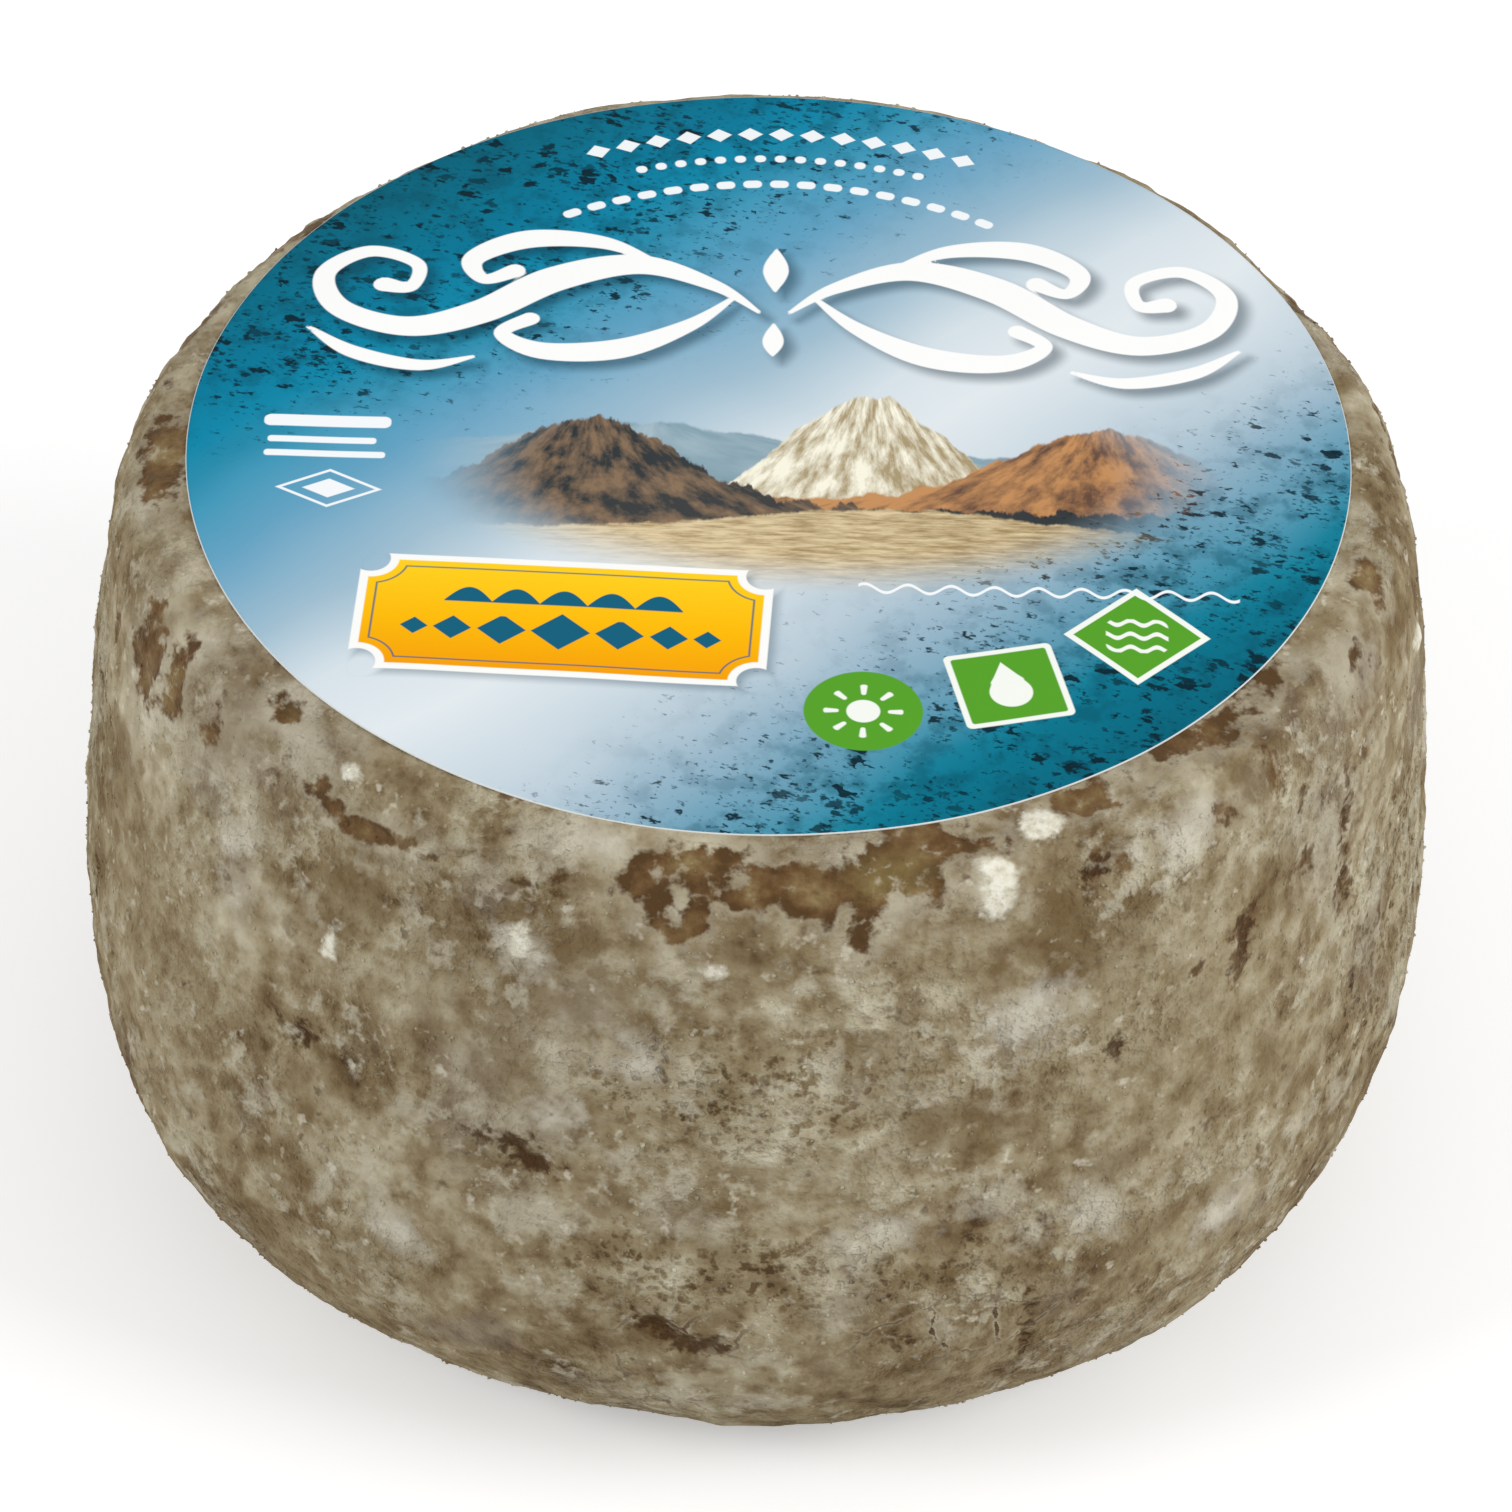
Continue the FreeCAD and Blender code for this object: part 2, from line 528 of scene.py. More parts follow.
def unrolled(tree, spot):
    # arc from the front, height carried on over the shoulder
    parts = addNode(tree, "ShaderNodeSeparateXYZ", spot).outputs
    toFront = addNode(tree, "ShaderNodeMath", parts["Y"], -1.0, operation="MULTIPLY")
    turn = addNode(tree, "ShaderNodeMath", parts["X"], toFront, operation="ARCTAN2")
    across = addNode(tree, "ShaderNodeMath", turn, unrolling["girth"], operation="MULTIPLY")
    flat = addNode(tree, "ShaderNodeVectorMath", spot, (1, 1, 0), operation="MULTIPLY")
    radius = addNode(tree, "ShaderNodeVectorMath", flat, operation="LENGTH").outputs["Value"]
    inward = addNode(tree, "ShaderNodeMath", unrolling["shoulder"], radius, operation="SUBTRACT")
    inward = addNode(tree, "ShaderNodeMath", inward, 0.0, operation="MAXIMUM")
    upward = addNode(tree, "ShaderNodeMapRange", parts["Z"], *unrolling["turnsOver"], -1.0, 1.0)
    up = addNode(tree, "ShaderNodeMath", inward, upward, parts["Z"], operation="MULTIPLY_ADD")
    return addNode(tree, "ShaderNodeCombineXYZ", across, up, 0.0)


def nearestMark(tree, place, marks):
    # gap to the nearest mark in mm, less than nothing inside it
    nearest = 30.0
    for across, up, halfWide, halfTall in marks:
        scale = (1 / halfWide, 1 / halfTall, 0)
        shift = (-across / halfWide, -up / halfTall, 0)
        moved = addNode(tree, "ShaderNodeVectorMath", place, scale, shift, operation="MULTIPLY_ADD")
        away = addNode(tree, "ShaderNodeVectorMath", moved, operation="LENGTH").outputs["Value"]
        reach = min(halfWide, halfTall)
        gap = addNode(tree, "ShaderNodeMath", away, reach, -reach, operation="MULTIPLY_ADD")
        nearest = addNode(tree, "ShaderNodeMath", nearest, gap, 1.0, operation="SMOOTH_MIN")
    return nearest


def noiseAt(tree, spot, size, detail=1.0, roughness=0.55, space="3D"):
    # noise of a size in mm; each pair of size and octaves looks at a place of its own
    shift = (size * 7.3, size * 3.1 + detail * 9.0, 0)
    moved = addNode(tree, "ShaderNodeVectorMath", spot, shift, operation="ADD")
    return addNode(tree, "ShaderNodeTexNoise", moved, 1 / size, detail, roughness, noise_dimensions=space)


def swing(tree, spot, size, amount, detail=1.0, roughness=0.55, space="3D"):
    # from minus to plus half the amount
    noise = noiseAt(tree, spot, size, detail, roughness, space)
    return addNode(tree, "ShaderNodeMath", noise, amount, -amount / 2, operation="MULTIPLY_ADD")


def cloud(tree, spot, size, low, high, strength=1.0, detail=1.0, roughness=0.6, space="3D"):
    # soft patches where a noise passes a level
    noise = noiseAt(tree, spot, size, detail, roughness, space)
    return addNode(tree, "ShaderNodeMapRange", noise, low, high, 0.0, strength)


def frayed(tree, field, grain, amount):
    # shifts a slow field by a fine grain, so that its edges tear
    fray = addNode(tree, "ShaderNodeMath", grain, amount, -amount / 2, operation="MULTIPLY_ADD")
    return addNode(tree, "ShaderNodeMath", field, fray, operation="ADD")


def keepField(tree, geometry, name, field, kind="FLOAT"):
    return addNode(tree, "GeometryNodeStoreNamedAttribute",
                   {"Geometry": geometry, "Name": name, "Value": field}, data_type=kind, domain="POINT")


def keepInside(tree, geometry):
    # nothing grown on the wheel reaches past the wheel's own box
    place = addNode(tree, "GeometryNodeInputPosition")
    low = tuple(v * toMetres + hairGap for v in wheelLow)
    high = tuple(v * toMetres - hairGap for v in wheelHigh)
    place = addNode(tree, "ShaderNodeVectorMath", place, (low[0], low[1], 0.0), operation="MAXIMUM")
    place = addNode(tree, "ShaderNodeVectorMath", place, high, operation="MINIMUM")
    return addNode(tree, "GeometryNodeSetPosition", {"Geometry": geometry, "Position": place})


def labelReach(tree, spot):
    # how far a place lies from the label's middle, seen from above
    away = addNode(tree, "ShaderNodeVectorMath", spot, (labelMiddle.x, labelMiddle.y, 0),
                   operation="SUBTRACT")
    away = addNode(tree, "ShaderNodeVectorMath", away, (1, 1, 0), operation="MULTIPLY")
    return addNode(tree, "ShaderNodeVectorMath", away, operation="LENGTH").outputs["Value"]


def rindTree(material, sizes):
    tree, given = startTree("rindForm", sizes)
    way = addNode(tree, "GeometryNodeInputNamedAttribute", "way", data_type="FLOAT_VECTOR")
    target = addNode(tree, "GeometryNodeObjectInfo", {"Object": given["Wheel"]}, transform_space="RELATIVE")
    hit = addNode(tree, "GeometryNodeRaycast",
                  {"Target Geometry": target.outputs["Geometry"], "Ray Direction": way, "Ray Length": 0.2})
    skin = addNode(tree, "GeometryNodeSetPosition",
                   {"Geometry": given["Geometry"], "Position": hit.outputs["Hit Position"]})
    place = addNode(tree, "GeometryNodeInputPosition")
    spot = addNode(tree, "ShaderNodeVectorMath", {"Vector": place, "Scale": toMillimetres}, operation="SCALE")
    flatPlace = unrolled(tree, spot)

    fields = {name: nearestMark(tree, flatPlace, marks) for name, marks in rindMarks.items()}
    for name, (size, depth) in markBays.items():
        fields[name] = addNode(tree, "ShaderNodeMath", fields[name], swing(tree, spot, size, depth),
                               operation="ADD")
    # a flake's own gap, turned round, cuts it out of the bare patch
    flake = addNode(tree, "ShaderNodeMath", fields.pop("islandGap"), -1.0, operation="MULTIPLY")
    fields["bareGap"] = addNode(tree, "ShaderNodeMath", fields["bareGap"], flake, operation="MAXIMUM")
    parts = []
    for name, depth in (("bareGap", "Crust Depth"), ("creamGap", "Cream Height"), ("slitGap", "Slit Depth")):
        mask = addNode(tree, "ShaderNodeMapRange", fields[name], 1.0, -1.5, 0.0, 1.0,
                       interpolation_type="SMOOTHSTEP")
        parts.append((mask, given[depth]))
    for size, detail in (("Lump", 1.0), ("Dimple", 2.0), ("Grain", 1.0)):
        scale = addNode(tree, "ShaderNodeMath", 1.0, given[size + " Size"], operation="DIVIDE")
        noise = addNode(tree, "ShaderNodeTexNoise", spot, scale, detail, 0.5)
        middle = addNode(tree, "ShaderNodeMath", noise, 0.5, operation="SUBTRACT")
        parts.append((middle, given[size + " Depth"]))
    relief = addNode(tree, "ShaderNodeMath", given["Sink"], -1.0, operation="MULTIPLY")
    for share, depth in parts:
        relief = addNode(tree, "ShaderNodeMath", share, depth, relief, operation="MULTIPLY_ADD")

    # under the label the rind is level, and it meets the paper at the paper's rim
    rim = labelHigh.x - labelMiddle.x
    under = addNode(tree, "ShaderNodeMapRange", labelReach(tree, spot), rim + 0.3, rim + 4.0, 1.0, 0.0)
    short = addNode(tree, "ShaderNodeMath", rindNet["labelBed"], relief, operation="SUBTRACT")
    relief = addNode(tree, "ShaderNodeMath", short, under, relief, operation="MULTIPLY_ADD")

    # the flat that stands on the table stays flat
    height = addNode(tree, "ShaderNodeSeparateXYZ", spot).outputs["Z"]
    free = addNode(tree, "ShaderNodeMapRange", height, 0.1, 5.0, 0.0, toMetres)
    lift = addNode(tree, "ShaderNodeMath", relief, free, operation="MULTIPLY")
    normal = addNode(tree, "GeometryNodeInputNormal")
    offset = addNode(tree, "ShaderNodeVectorMath", {"Vector": normal, "Scale": lift}, operation="SCALE")

    fields = slowFields(tree, spot, height, relief, fields)
    held = keepField(tree, skin, "restPlace", spot, "FLOAT_VECTOR")
    bent = addNode(tree, "ShaderNodeTexNoise", spot, 1 / 5.0, 2.0, 0.5).outputs["Color"]
    bent = addNode(tree, "ShaderNodeVectorMath", bent, (5.0, 5.0, 5.0), spot, operation="MULTIPLY_ADD")
    held = keepField(tree, held, "bentPlace", bent, "FLOAT_VECTOR")
    for name, field in fields.items():
        held = keepField(tree, held, name, field)
    moved = addNode(tree, "GeometryNodeSetPosition", {"Geometry": held, "Offset": offset})
    boxed = keepInside(tree, moved)
    smooth = addNode(tree, "GeometryNodeSetShadeSmooth", {"Geometry": boxed})
    whole = addNode(tree, "GeometryNodeRealizeInstances", {"Geometry": smooth})
    dressed = addNode(tree, "GeometryNodeSetMaterial", {"Geometry": whole, "Material": material})
    addNode(tree, "NodeGroupOutput", {"Geometry": dressed})
    return tree


rindColours = {
    "mould": [(0.0, "#4e3b26"), (0.16, "#675439"), (0.34, "#7f6e51"), (0.5, "#928467"), (0.66, "#a59a80"),
              (0.84, "#b9b097"), (1.0, "#cec7b2")],
    "bare": [(0.0, "#513a20"), (0.35, "#664c2e"), (0.65, "#745d3c"), (1.0, "#897650")],
    "moss": "#796a3f",
    "cream": [(0.0, "#c2bca6"), (0.5, "#d9d5c2"), (1.0, "#e9e6d8")],
    "slit": "#422a14",
    "crack": "#503c26",
    "bloom": "#c0b9a4",
    "dust": "#cdc8b8",
    "tuft": "#d6d0bd",
    "worn": "#6b5636",
    "lilac": "#83796f",
}

# layers over the mould's tone: ink, size in mm, level where each starts and is full, strength,
# octaves, size of the stretches that it keeps to, and how far the grain frays it
rindLayers = [
    ("lilac", 31.0, 0.56, 0.66, 0.35, 2.0, None, 0.0),
    ("worn", 16.0, 0.55, 0.70, 0.65, 2.0, None, 3.0),
    ("worn", 5.2, 0.54, 0.65, 0.60, 1.0, 24.0, 4.0),
    ("bloom", 12.0, 0.55, 0.70, 0.60, 2.0, None, 3.0),
    ("bloom", 4.2, 0.56, 0.69, 0.60, 1.0, 18.0, 4.0),
]
fineLayers = [
    ("crack", 2.1, 0.60, 0.72, 0.60, 2.0, 16.0),
    ("tuft", 2.3, 0.61, 0.72, 0.60, 2.0, 13.0),
]


rindTone = {
    "middle": 0.475,
    # size in mm, swing and octaves of each noise that it wanders by
    "swings": ((38.0, 0.45, 1.0), (14.0, 0.75, 2.0), (4.6, 0.95, 1.0)),
    "reliefShading": 0.22,            # painted shade and light: darker in a hollow, paler on a lump
    "calm": (0.56, 0.65),      # tone of a calm place, and how much of the way there it goes
}


def slowFields(tree, spot, height, relief, gaps):
    # all of the pattern that is wider than the net is worked out on its points
    fields = {name: gaps[name] for name in ("bareGap", "creamGap", "slitGap", "bloomGap", "spotGap")}
    calm = addNode(tree, "ShaderNodeMapRange", gaps["calmGap"], 5.0, -9.0, 0.0, 1.0)
    tone = rindTone["middle"]
    for size, amount, detail in rindTone["swings"]:
        tone = addNode(tree, "ShaderNodeMath", tone, swing(tree, spot, size, amount, detail), operation="ADD")
    # painted shade in the hollows and painted light on the lumps, taken from the relief
    reliefShading = addNode(tree, "ShaderNodeMapRange", relief, -1.6, 0.0, -rindTone["reliefShading"], rindTone["reliefShading"])
    tone = addNode(tree, "ShaderNodeMath", tone, reliefShading, operation="ADD")
    # painted shade: darker towards the foot
    foot = addNode(tree, "ShaderNodeMapRange", height, 12.0, 64.0, -0.10, 0.01)
    tone = addNode(tree, "ShaderNodeMath", tone, foot, operation="ADD")
    evenTone, evenShare = rindTone["calm"]
    even = addNode(tree, "ShaderNodeMath", evenTone, tone, operation="SUBTRACT")
    even = addNode(tree, "ShaderNodeMath", even, calm, operation="MULTIPLY")
    fields["tone"] = addNode(tree, "ShaderNodeMath", even, evenShare, tone, operation="MULTIPLY_ADD")
    for i, (ink, size, low, high, _, detail, stretch, _) in enumerate(rindLayers):
        noise = noiseAt(tree, spot, size, detail, 0.62)
        if ink == "worn":
            # the mould wears off soonest on the shoulder
            extra = addNode(tree, "ShaderNodeMapRange", height, 84.0, 108.0, 0.0, 0.03)
            noise = addNode(tree, "ShaderNodeMath", noise, extra, operation="ADD")
        field = addNode(tree, "ShaderNodeMapRange", noise, low, high, 0.0, 1.0, clamp=False)
        if stretch:
            away = cloud(tree, spot, stretch, 0.58, 0.44, 2.0)
            field = addNode(tree, "ShaderNodeMath", field, away, operation="SUBTRACT")
        field = addNode(tree, "ShaderNodeMath", field, calm, operation="SUBTRACT")
        if ink == "lilac":
            field = join(tree, field,
                         addNode(tree, "ShaderNodeMapRange", gaps["lilacGap"], 1.5, -3.0, 0.0, 1.6))
        fields["layer" + str(i)] = field
    for i, (*_, stretch) in enumerate(fineLayers):
        fields["room" + str(i)] = cloud(tree, spot, stretch, 0.44, 0.58)
    # painted shade: bare rind is darkest along the broken edge of the mould, under its step
    edge = addNode(tree, "ShaderNodeMapRange", gaps["bareGap"], -2.6, 0.0, 0.0, -0.4)
    bareTone = cloud(tree, spot, 7.0, 0.30, 0.66)
    fields["bareTone"] = addNode(tree, "ShaderNodeMath", bareTone, edge, operation="ADD")
    fields["moss"] = addNode(tree, "ShaderNodeMapRange", gaps["mossGap"], 1.0, -4.0, 0.0, 0.6)
    curly = addNode(tree, "ShaderNodeMapRange", gaps["curlyGap"], 2.0, -4.0, 0.12, 1.0)
    fields["curly"] = curly
    crumbly = addNode(tree, "ShaderNodeMath", cloud(tree, spot, 18.0, 0.40, 0.62, 1.0), 0.5, operation="ADD")
    fields["crumbly"] = addNode(tree, "ShaderNodeMath", curly, 1.2, crumbly, operation="MULTIPLY_ADD")
    low = addNode(tree, "ShaderNodeMapRange", height, 14.0, 60.0, 0.10, -0.16)
    dry = addNode(tree, "ShaderNodeMath", noiseAt(tree, spot, 17.0), low, operation="ADD")
    dry = addNode(tree, "ShaderNodeMapRange", dry, 0.55, 0.62, 0.0, 0.5)
    split = addNode(tree, "ShaderNodeMapRange", gaps["crackGap"], 2.0, -3.0, 0.0, 0.95)
    fields["crackRoom"] = join(tree, dry, split)
    return fields


def kept(tree, name, output="Fac"):
    return addNode(tree, "ShaderNodeAttribute", attribute_name=name).outputs[output]


def curlCrest(tree, fine):
    # thin winding lines, where the fine noise passes its middle
    away = addNode(tree, "ShaderNodeMath", fine, 0.5, operation="SUBTRACT")
    away = addNode(tree, "ShaderNodeMath", away, operation="ABSOLUTE")
    return addNode(tree, "ShaderNodeMapRange", away, 0.0, 0.12, 1.0, 0.0, interpolation_type="SMOOTHSTEP")


def mouldColour(tree, spot, coarse, fine):
    # painted light and shade: crumbs are paler on top than in the hollows between them
    tone = frayed(tree, kept(tree, "tone"), coarse, 0.55)
    crumb = addNode(tree, "ShaderNodeMath", fine, 0.5, operation="SUBTRACT")
    share = addNode(tree, "ShaderNodeMath", kept(tree, "crumbly"), 0.1, 0.18, operation="MULTIPLY_ADD")
    tone = addNode(tree, "ShaderNodeMath", crumb, share, tone, operation="MULTIPLY_ADD")
    # painted light and shade: curls are pale along their crest, with a dark pit inside
    pitShade = addNode(tree, "ShaderNodeMapRange", fine, 0.44, 0.35, 0.0, -0.26)
    curl = addNode(tree, "ShaderNodeMath", curlCrest(tree, fine), 0.09, pitShade, operation="MULTIPLY_ADD")
    tone = addNode(tree, "ShaderNodeMath", curl, kept(tree, "curly"), tone, operation="MULTIPLY_ADD")
    colour = fillRamp(addNode(tree, "ShaderNodeValToRGB", tone), rindColours["mould"])
    for i, (ink, *_, strength, _, _, fray) in enumerate(rindLayers):
        field = frayed(tree, kept(tree, "layer" + str(i)), coarse if i % 2 else fine, fray)
        mask = addNode(tree, "ShaderNodeMapRange", field, 0.0, 1.0, 0.0, strength)
        colour = paint(tree, colour, rindColours[ink], mask)
    blooms = frayed(tree, kept(tree, "bloomGap"), coarse, 10.0)
    blooms = addNode(tree, "ShaderNodeMapRange", blooms, 1.5, -3.6, 0.0, 0.8)
    colour = paint(tree, colour, rindColours["dust"], blooms)
    for i, (ink, size, low, high, strength, detail, _) in enumerate(fineLayers):
        mask = cloud(tree, spot, size, low, high, strength, detail)
        mask = join(tree, mask, kept(tree, "room" + str(i)), how="MULTIPLY")
        colour = paint(tree, colour, rindColours[ink], mask)
    return colour


def crackLayer(tree, colour, fine):
    # the dried rind splits into plates of some 9 mm, with pale lips along the thin dark lines
    plates = addNode(tree, "ShaderNodeTexVoronoi", kept(tree, "bentPlace", "Vector"), 1 / 9.0,
                     feature="DISTANCE_TO_EDGE").outputs["Distance"]
    width = addNode(tree, "ShaderNodeMapRange", fine, 0.40, 0.62, -0.01, 0.034)
    off = addNode(tree, "ShaderNodeMath", plates, width, operation="SUBTRACT")
    lip = addNode(tree, "ShaderNodeMapRange", off, 0.055, 0.015, 0.0, 0.35)
    line = addNode(tree, "ShaderNodeMapRange", off, 0.012, -0.004, 0.0, 1.0)
    room = kept(tree, "crackRoom")
    colour = paint(tree, colour, rindColours["bloom"], join(tree, lip, room, how="MULTIPLY"))
    return paint(tree, colour, rindColours["crack"], join(tree, line, room, how="MULTIPLY"))


def markMask(tree, name, grain, depth, soft, strength=1.0):
    return softEdge(tree, frayed(tree, kept(tree, name), grain, depth), soft, strength)


def bareColour(tree, coarse, fine):
    tone = frayed(tree, frayed(tree, kept(tree, "bareTone"), coarse, 0.9), fine, 1.1)
    colour = fillRamp(addNode(tree, "ShaderNodeValToRGB", tone), rindColours["bare"])
    colour = paint(tree, colour, rindColours["moss"], kept(tree, "moss"))
    return paint(tree, colour, rindColours["bloom"],
                 addNode(tree, "ShaderNodeMapRange", coarse, 0.58, 0.72, 0.0, 0.5))


def mouldRindMaterial():
    # Dried grey-brown mould on a natural rind: dull, dusty and soft to the eye,
    # with waxy brown rind where the mould is rubbed off and chalk-white young mould.
    material, tree = startMaterial("mould_rind")
    spot = kept(tree, "restPlace", "Vector")
    coarse = noiseAt(tree, spot, 2.7, 3.0, 0.6)
    fine = noiseAt(tree, spot, 1.5, 2.0, 0.6)
    colour = mouldColour(tree, spot, coarse, fine)
    colour = crackLayer(tree, colour, fine)
    # the mould is palest where it breaks off at a bare patch
    fringe = frayed(tree, kept(tree, "bareGap"), coarse, 16.0)
    fringe = addNode(tree, "ShaderNodeMapRange", fringe, 4.0, 0.0, 0.0, 0.42)
    colour = paint(tree, colour, rindColours["bloom"], fringe)
    bare = join(tree, markMask(tree, "bareGap", coarse, 8.0, 0.9),
                markMask(tree, "spotGap", fine, 4.0, 0.7, 0.9))
    colour = paint(tree, colour, bareColour(tree, coarse, fine), bare)
    colour = paint(tree, colour, rindColours["slit"], markMask(tree, "slitGap", fine, 7.0, 0.9, 0.85))
    creamTone = addNode(tree, "ShaderNodeMapRange", fine, 0.3, 0.65, 0.0, 1.0)
    creamColour = fillRamp(addNode(tree, "ShaderNodeValToRGB", creamTone), rindColours["cream"])
    colour = paint(tree, colour, creamColour, markMask(tree, "creamGap", coarse, 4.0, 0.8))

    soft = addNode(tree, "ShaderNodeMapRange", kept(tree, "bareGap"), 3.0, -3.0, 1.0, 0.3)
    crumb = join(tree, fine, kept(tree, "crumbly"), soft, how="MULTIPLY")
    crest = join(tree, curlCrest(tree, fine), kept(tree, "curly"), how="MULTIPLY")
    height = addNode(tree, "ShaderNodeMath", crest, 0.12, crumb, operation="MULTIPLY_ADD")
    bump = addNode(tree, "ShaderNodeBump", {"Strength": 1.0, "Distance": 0.0009, "Height": height})
    rough = addNode(tree, "ShaderNodeMapRange", bare, 0.0, 1.0, 0.95, 0.62)
    surface = addNode(tree, "ShaderNodeBsdfPrincipled", {
        "Base Color": colour, "Roughness": rough, "Normal": bump,
        "Sheen Weight": 0.2, "Sheen Roughness": 0.45,
        "Sheen Tint": linearColour("#d9c9a6"), "IOR": 1.45, "Specular IOR Level": 0.12})
    addNode(tree, "ShaderNodeOutputMaterial", {"Surface": surface})
    return material


rindMaterial = mouldRindMaterial()
rindInputs = {"Wheel": wheelNode, **rindSizes}
rind = growPiece("rind", sleeveMesh(), rindTree(rindMaterial, rindInputs), rindInputs)


crumbSizes = {
    "Per Square": 0.20,    # crumbs on each square millimetre where they lie thickest
    "Smallest": 0.10,      # radius of a crumb
    "Largest": 0.34,
    "Shake": 0.55,         # how far a crumb is from round
}


crumbPlaces = {
    "beyondRim": 0.9,     # mm outside the label
    "lowest": 3.0,
    "highest": 95.0,
    "mostlySmall": 2.2,   # power of the chance that sets a crumb's size
    "shakeScale": 3200.0,
    "paler": 0.12,        # painted highlight: the raised crumbs are made lighter than the rind that they lie on
}


def crumbTree(material, sizes):
    # loose crumbs of dried mould on the side and the shoulder
    tree, given = startTree("crumbForm", sizes)
    spot = addNode(tree, "GeometryNodeInputNamedAttribute", "restPlace", data_type="FLOAT_VECTOR")
    thick = cloud(tree, spot, 13.0, 0.40, 0.62, 0.75)
    thick = addNode(tree, "ShaderNodeMath", thick, 0.25, operation="ADD")
    gap = addNode(tree, "GeometryNodeInputNamedAttribute", "bareGap", data_type="FLOAT")
    mouldy = addNode(tree, "ShaderNodeMapRange", gap, -2.0, 2.0, 0.15, 1.0)
    rim = labelHigh.x - labelMiddle.x
    beyond = addNode(tree, "ShaderNodeMath", labelReach(tree, spot), rim + crumbPlaces["beyondRim"],
                     operation="GREATER_THAN")
    height = addNode(tree, "ShaderNodeSeparateXYZ", spot).outputs["Z"]
    below = addNode(tree, "ShaderNodeMath", height, crumbPlaces["highest"], operation="LESS_THAN")
    above = addNode(tree, "ShaderNodeMath", height, crumbPlaces["lowest"], operation="GREATER_THAN")
    where = join(tree, join(tree, beyond, below), above, thick, mouldy, how="MULTIPLY")
    density = addNode(tree, "ShaderNodeMath", given["Per Square"], 1e6, operation="MULTIPLY")
    density = addNode(tree, "ShaderNodeMath", density, where, operation="MULTIPLY")
    points = addNode(tree, "GeometryNodeDistributePointsOnFaces",
                     {"Mesh": given["Geometry"], "Density": density, "Seed": 11})
    ball = addNode(tree, "GeometryNodeMeshIcoSphere", {"Radius": toMetres, "Subdivisions": 1})
    chance = addNode(tree, "FunctionNodeRandomValue", {"Min": 0.0, "Max": 1.0, "Seed": 12}, data_type="FLOAT")
    chance = addNode(tree, "ShaderNodeMath", chance, crumbPlaces["mostlySmall"], operation="POWER")
    size = addNode(tree, "ShaderNodeMapRange", chance, 0.0, 1.0, given["Smallest"], given["Largest"])
    turn = addNode(tree, "FunctionNodeRandomValue",
                   {"Min": (0, 0, 0), "Max": (fullTurn,) * 3, "Seed": 13}, data_type="FLOAT_VECTOR")
    laid = addNode(tree, "GeometryNodeInstanceOnPoints",
                   {"Points": points.outputs["Points"], "Instance": ball, "Rotation": turn, "Scale": size})
    whole = addNode(tree, "GeometryNodeRealizeInstances", {"Geometry": laid})
    place = addNode(tree, "GeometryNodeInputPosition")
    shake = addNode(tree, "ShaderNodeTexNoise", place, crumbPlaces["shakeScale"], 1.0, 0.5).outputs["Color"]
    shake = addNode(tree, "ShaderNodeVectorMath", shake, (0.5, 0.5, 0.5), operation="SUBTRACT")
    amount = addNode(tree, "ShaderNodeMath", given["Shake"], toMetres, operation="MULTIPLY")
    shake = addNode(tree, "ShaderNodeVectorMath", {"Vector": shake, "Scale": amount}, operation="SCALE")
    shaken = addNode(tree, "GeometryNodeSetPosition", {"Geometry": whole, "Offset": shake})
    # painted highlight: a crumb's tone is lifted above the rind's
    tone = addNode(tree, "GeometryNodeInputNamedAttribute", "tone", data_type="FLOAT")
    paler = addNode(tree, "ShaderNodeMath", tone, crumbPlaces["paler"], operation="ADD")
    paler = keepField(tree, keepInside(tree, shaken), "tone", paler)
    smooth = addNode(tree, "GeometryNodeSetShadeSmooth", {"Geometry": paler})
    dressed = addNode(tree, "GeometryNodeSetMaterial", {"Geometry": smooth, "Material": material})
    addNode(tree, "NodeGroupOutput", {"Geometry": dressed})
    return tree


crumbs = growPiece("mouldCrumbs", rind.data.copy(), crumbTree(rindMaterial, crumbSizes), crumbSizes)


# The paper label

labelNet = {
    "columns": 600,
    "rings": 140,
    "thick": 0.3,
    "rounding": (0.05, 0.08),   # of its rim, inward and upward
    "bend": (0.062, 0.076),     # metres from the middle, where the rim bends down
    "reach": 75.0,              # mm, over which the tint runs from the middle to either end
}

labelSizes = {
    "Wave Size": 34.0,
    "Wave Depth": 0.7,
    "Edge Drop": 0.35,   # the rim bends down on to the rind
}


def labelMesh():
    # two sheets of rings joined by a rim
    columns, rings = labelNet["columns"], labelNet["rings"]
    radius = (labelHigh.x - labelLow.x) / 2
    thick = labelNet["thick"]
    inward, upward = labelNet["rounding"]
    turn = np.arange(columns) * 2 * np.pi / columns
    levels = [(radius * i / rings, thick) for i in range(1, rings)]
    levels += [(radius - inward, thick), (radius, thick - upward), (radius, upward), (radius - inward, 0.0)]
    levels += [(radius * share, 0.0) for share in (0.75, 0.5, 0.25)]
    points = [(0.0, 0.0, thick)]
    for reach, level in levels:
        points += zip(reach * np.cos(turn), reach * np.sin(turn), [level] * columns)
    points.append((0.0, 0.0, 0.0))
    faces = []
    for i in range(columns):
        after = (i + 1) % columns
        faces.append((0, 1 + i, 1 + after))
        for j in range(len(levels) - 1):
            a, b = 1 + j * columns + i, 1 + j * columns + after
            faces.append((a, a + columns, b + columns, b))
        last = 1 + (len(levels) - 1) * columns
        faces.append((last + after, last + i, len(points) - 1))
    mesh = bpy.data.meshes.new("sheet")
    mesh.from_pydata([tuple(float(v) * toMetres for v in p) for p in points], [], faces)
    return mesh


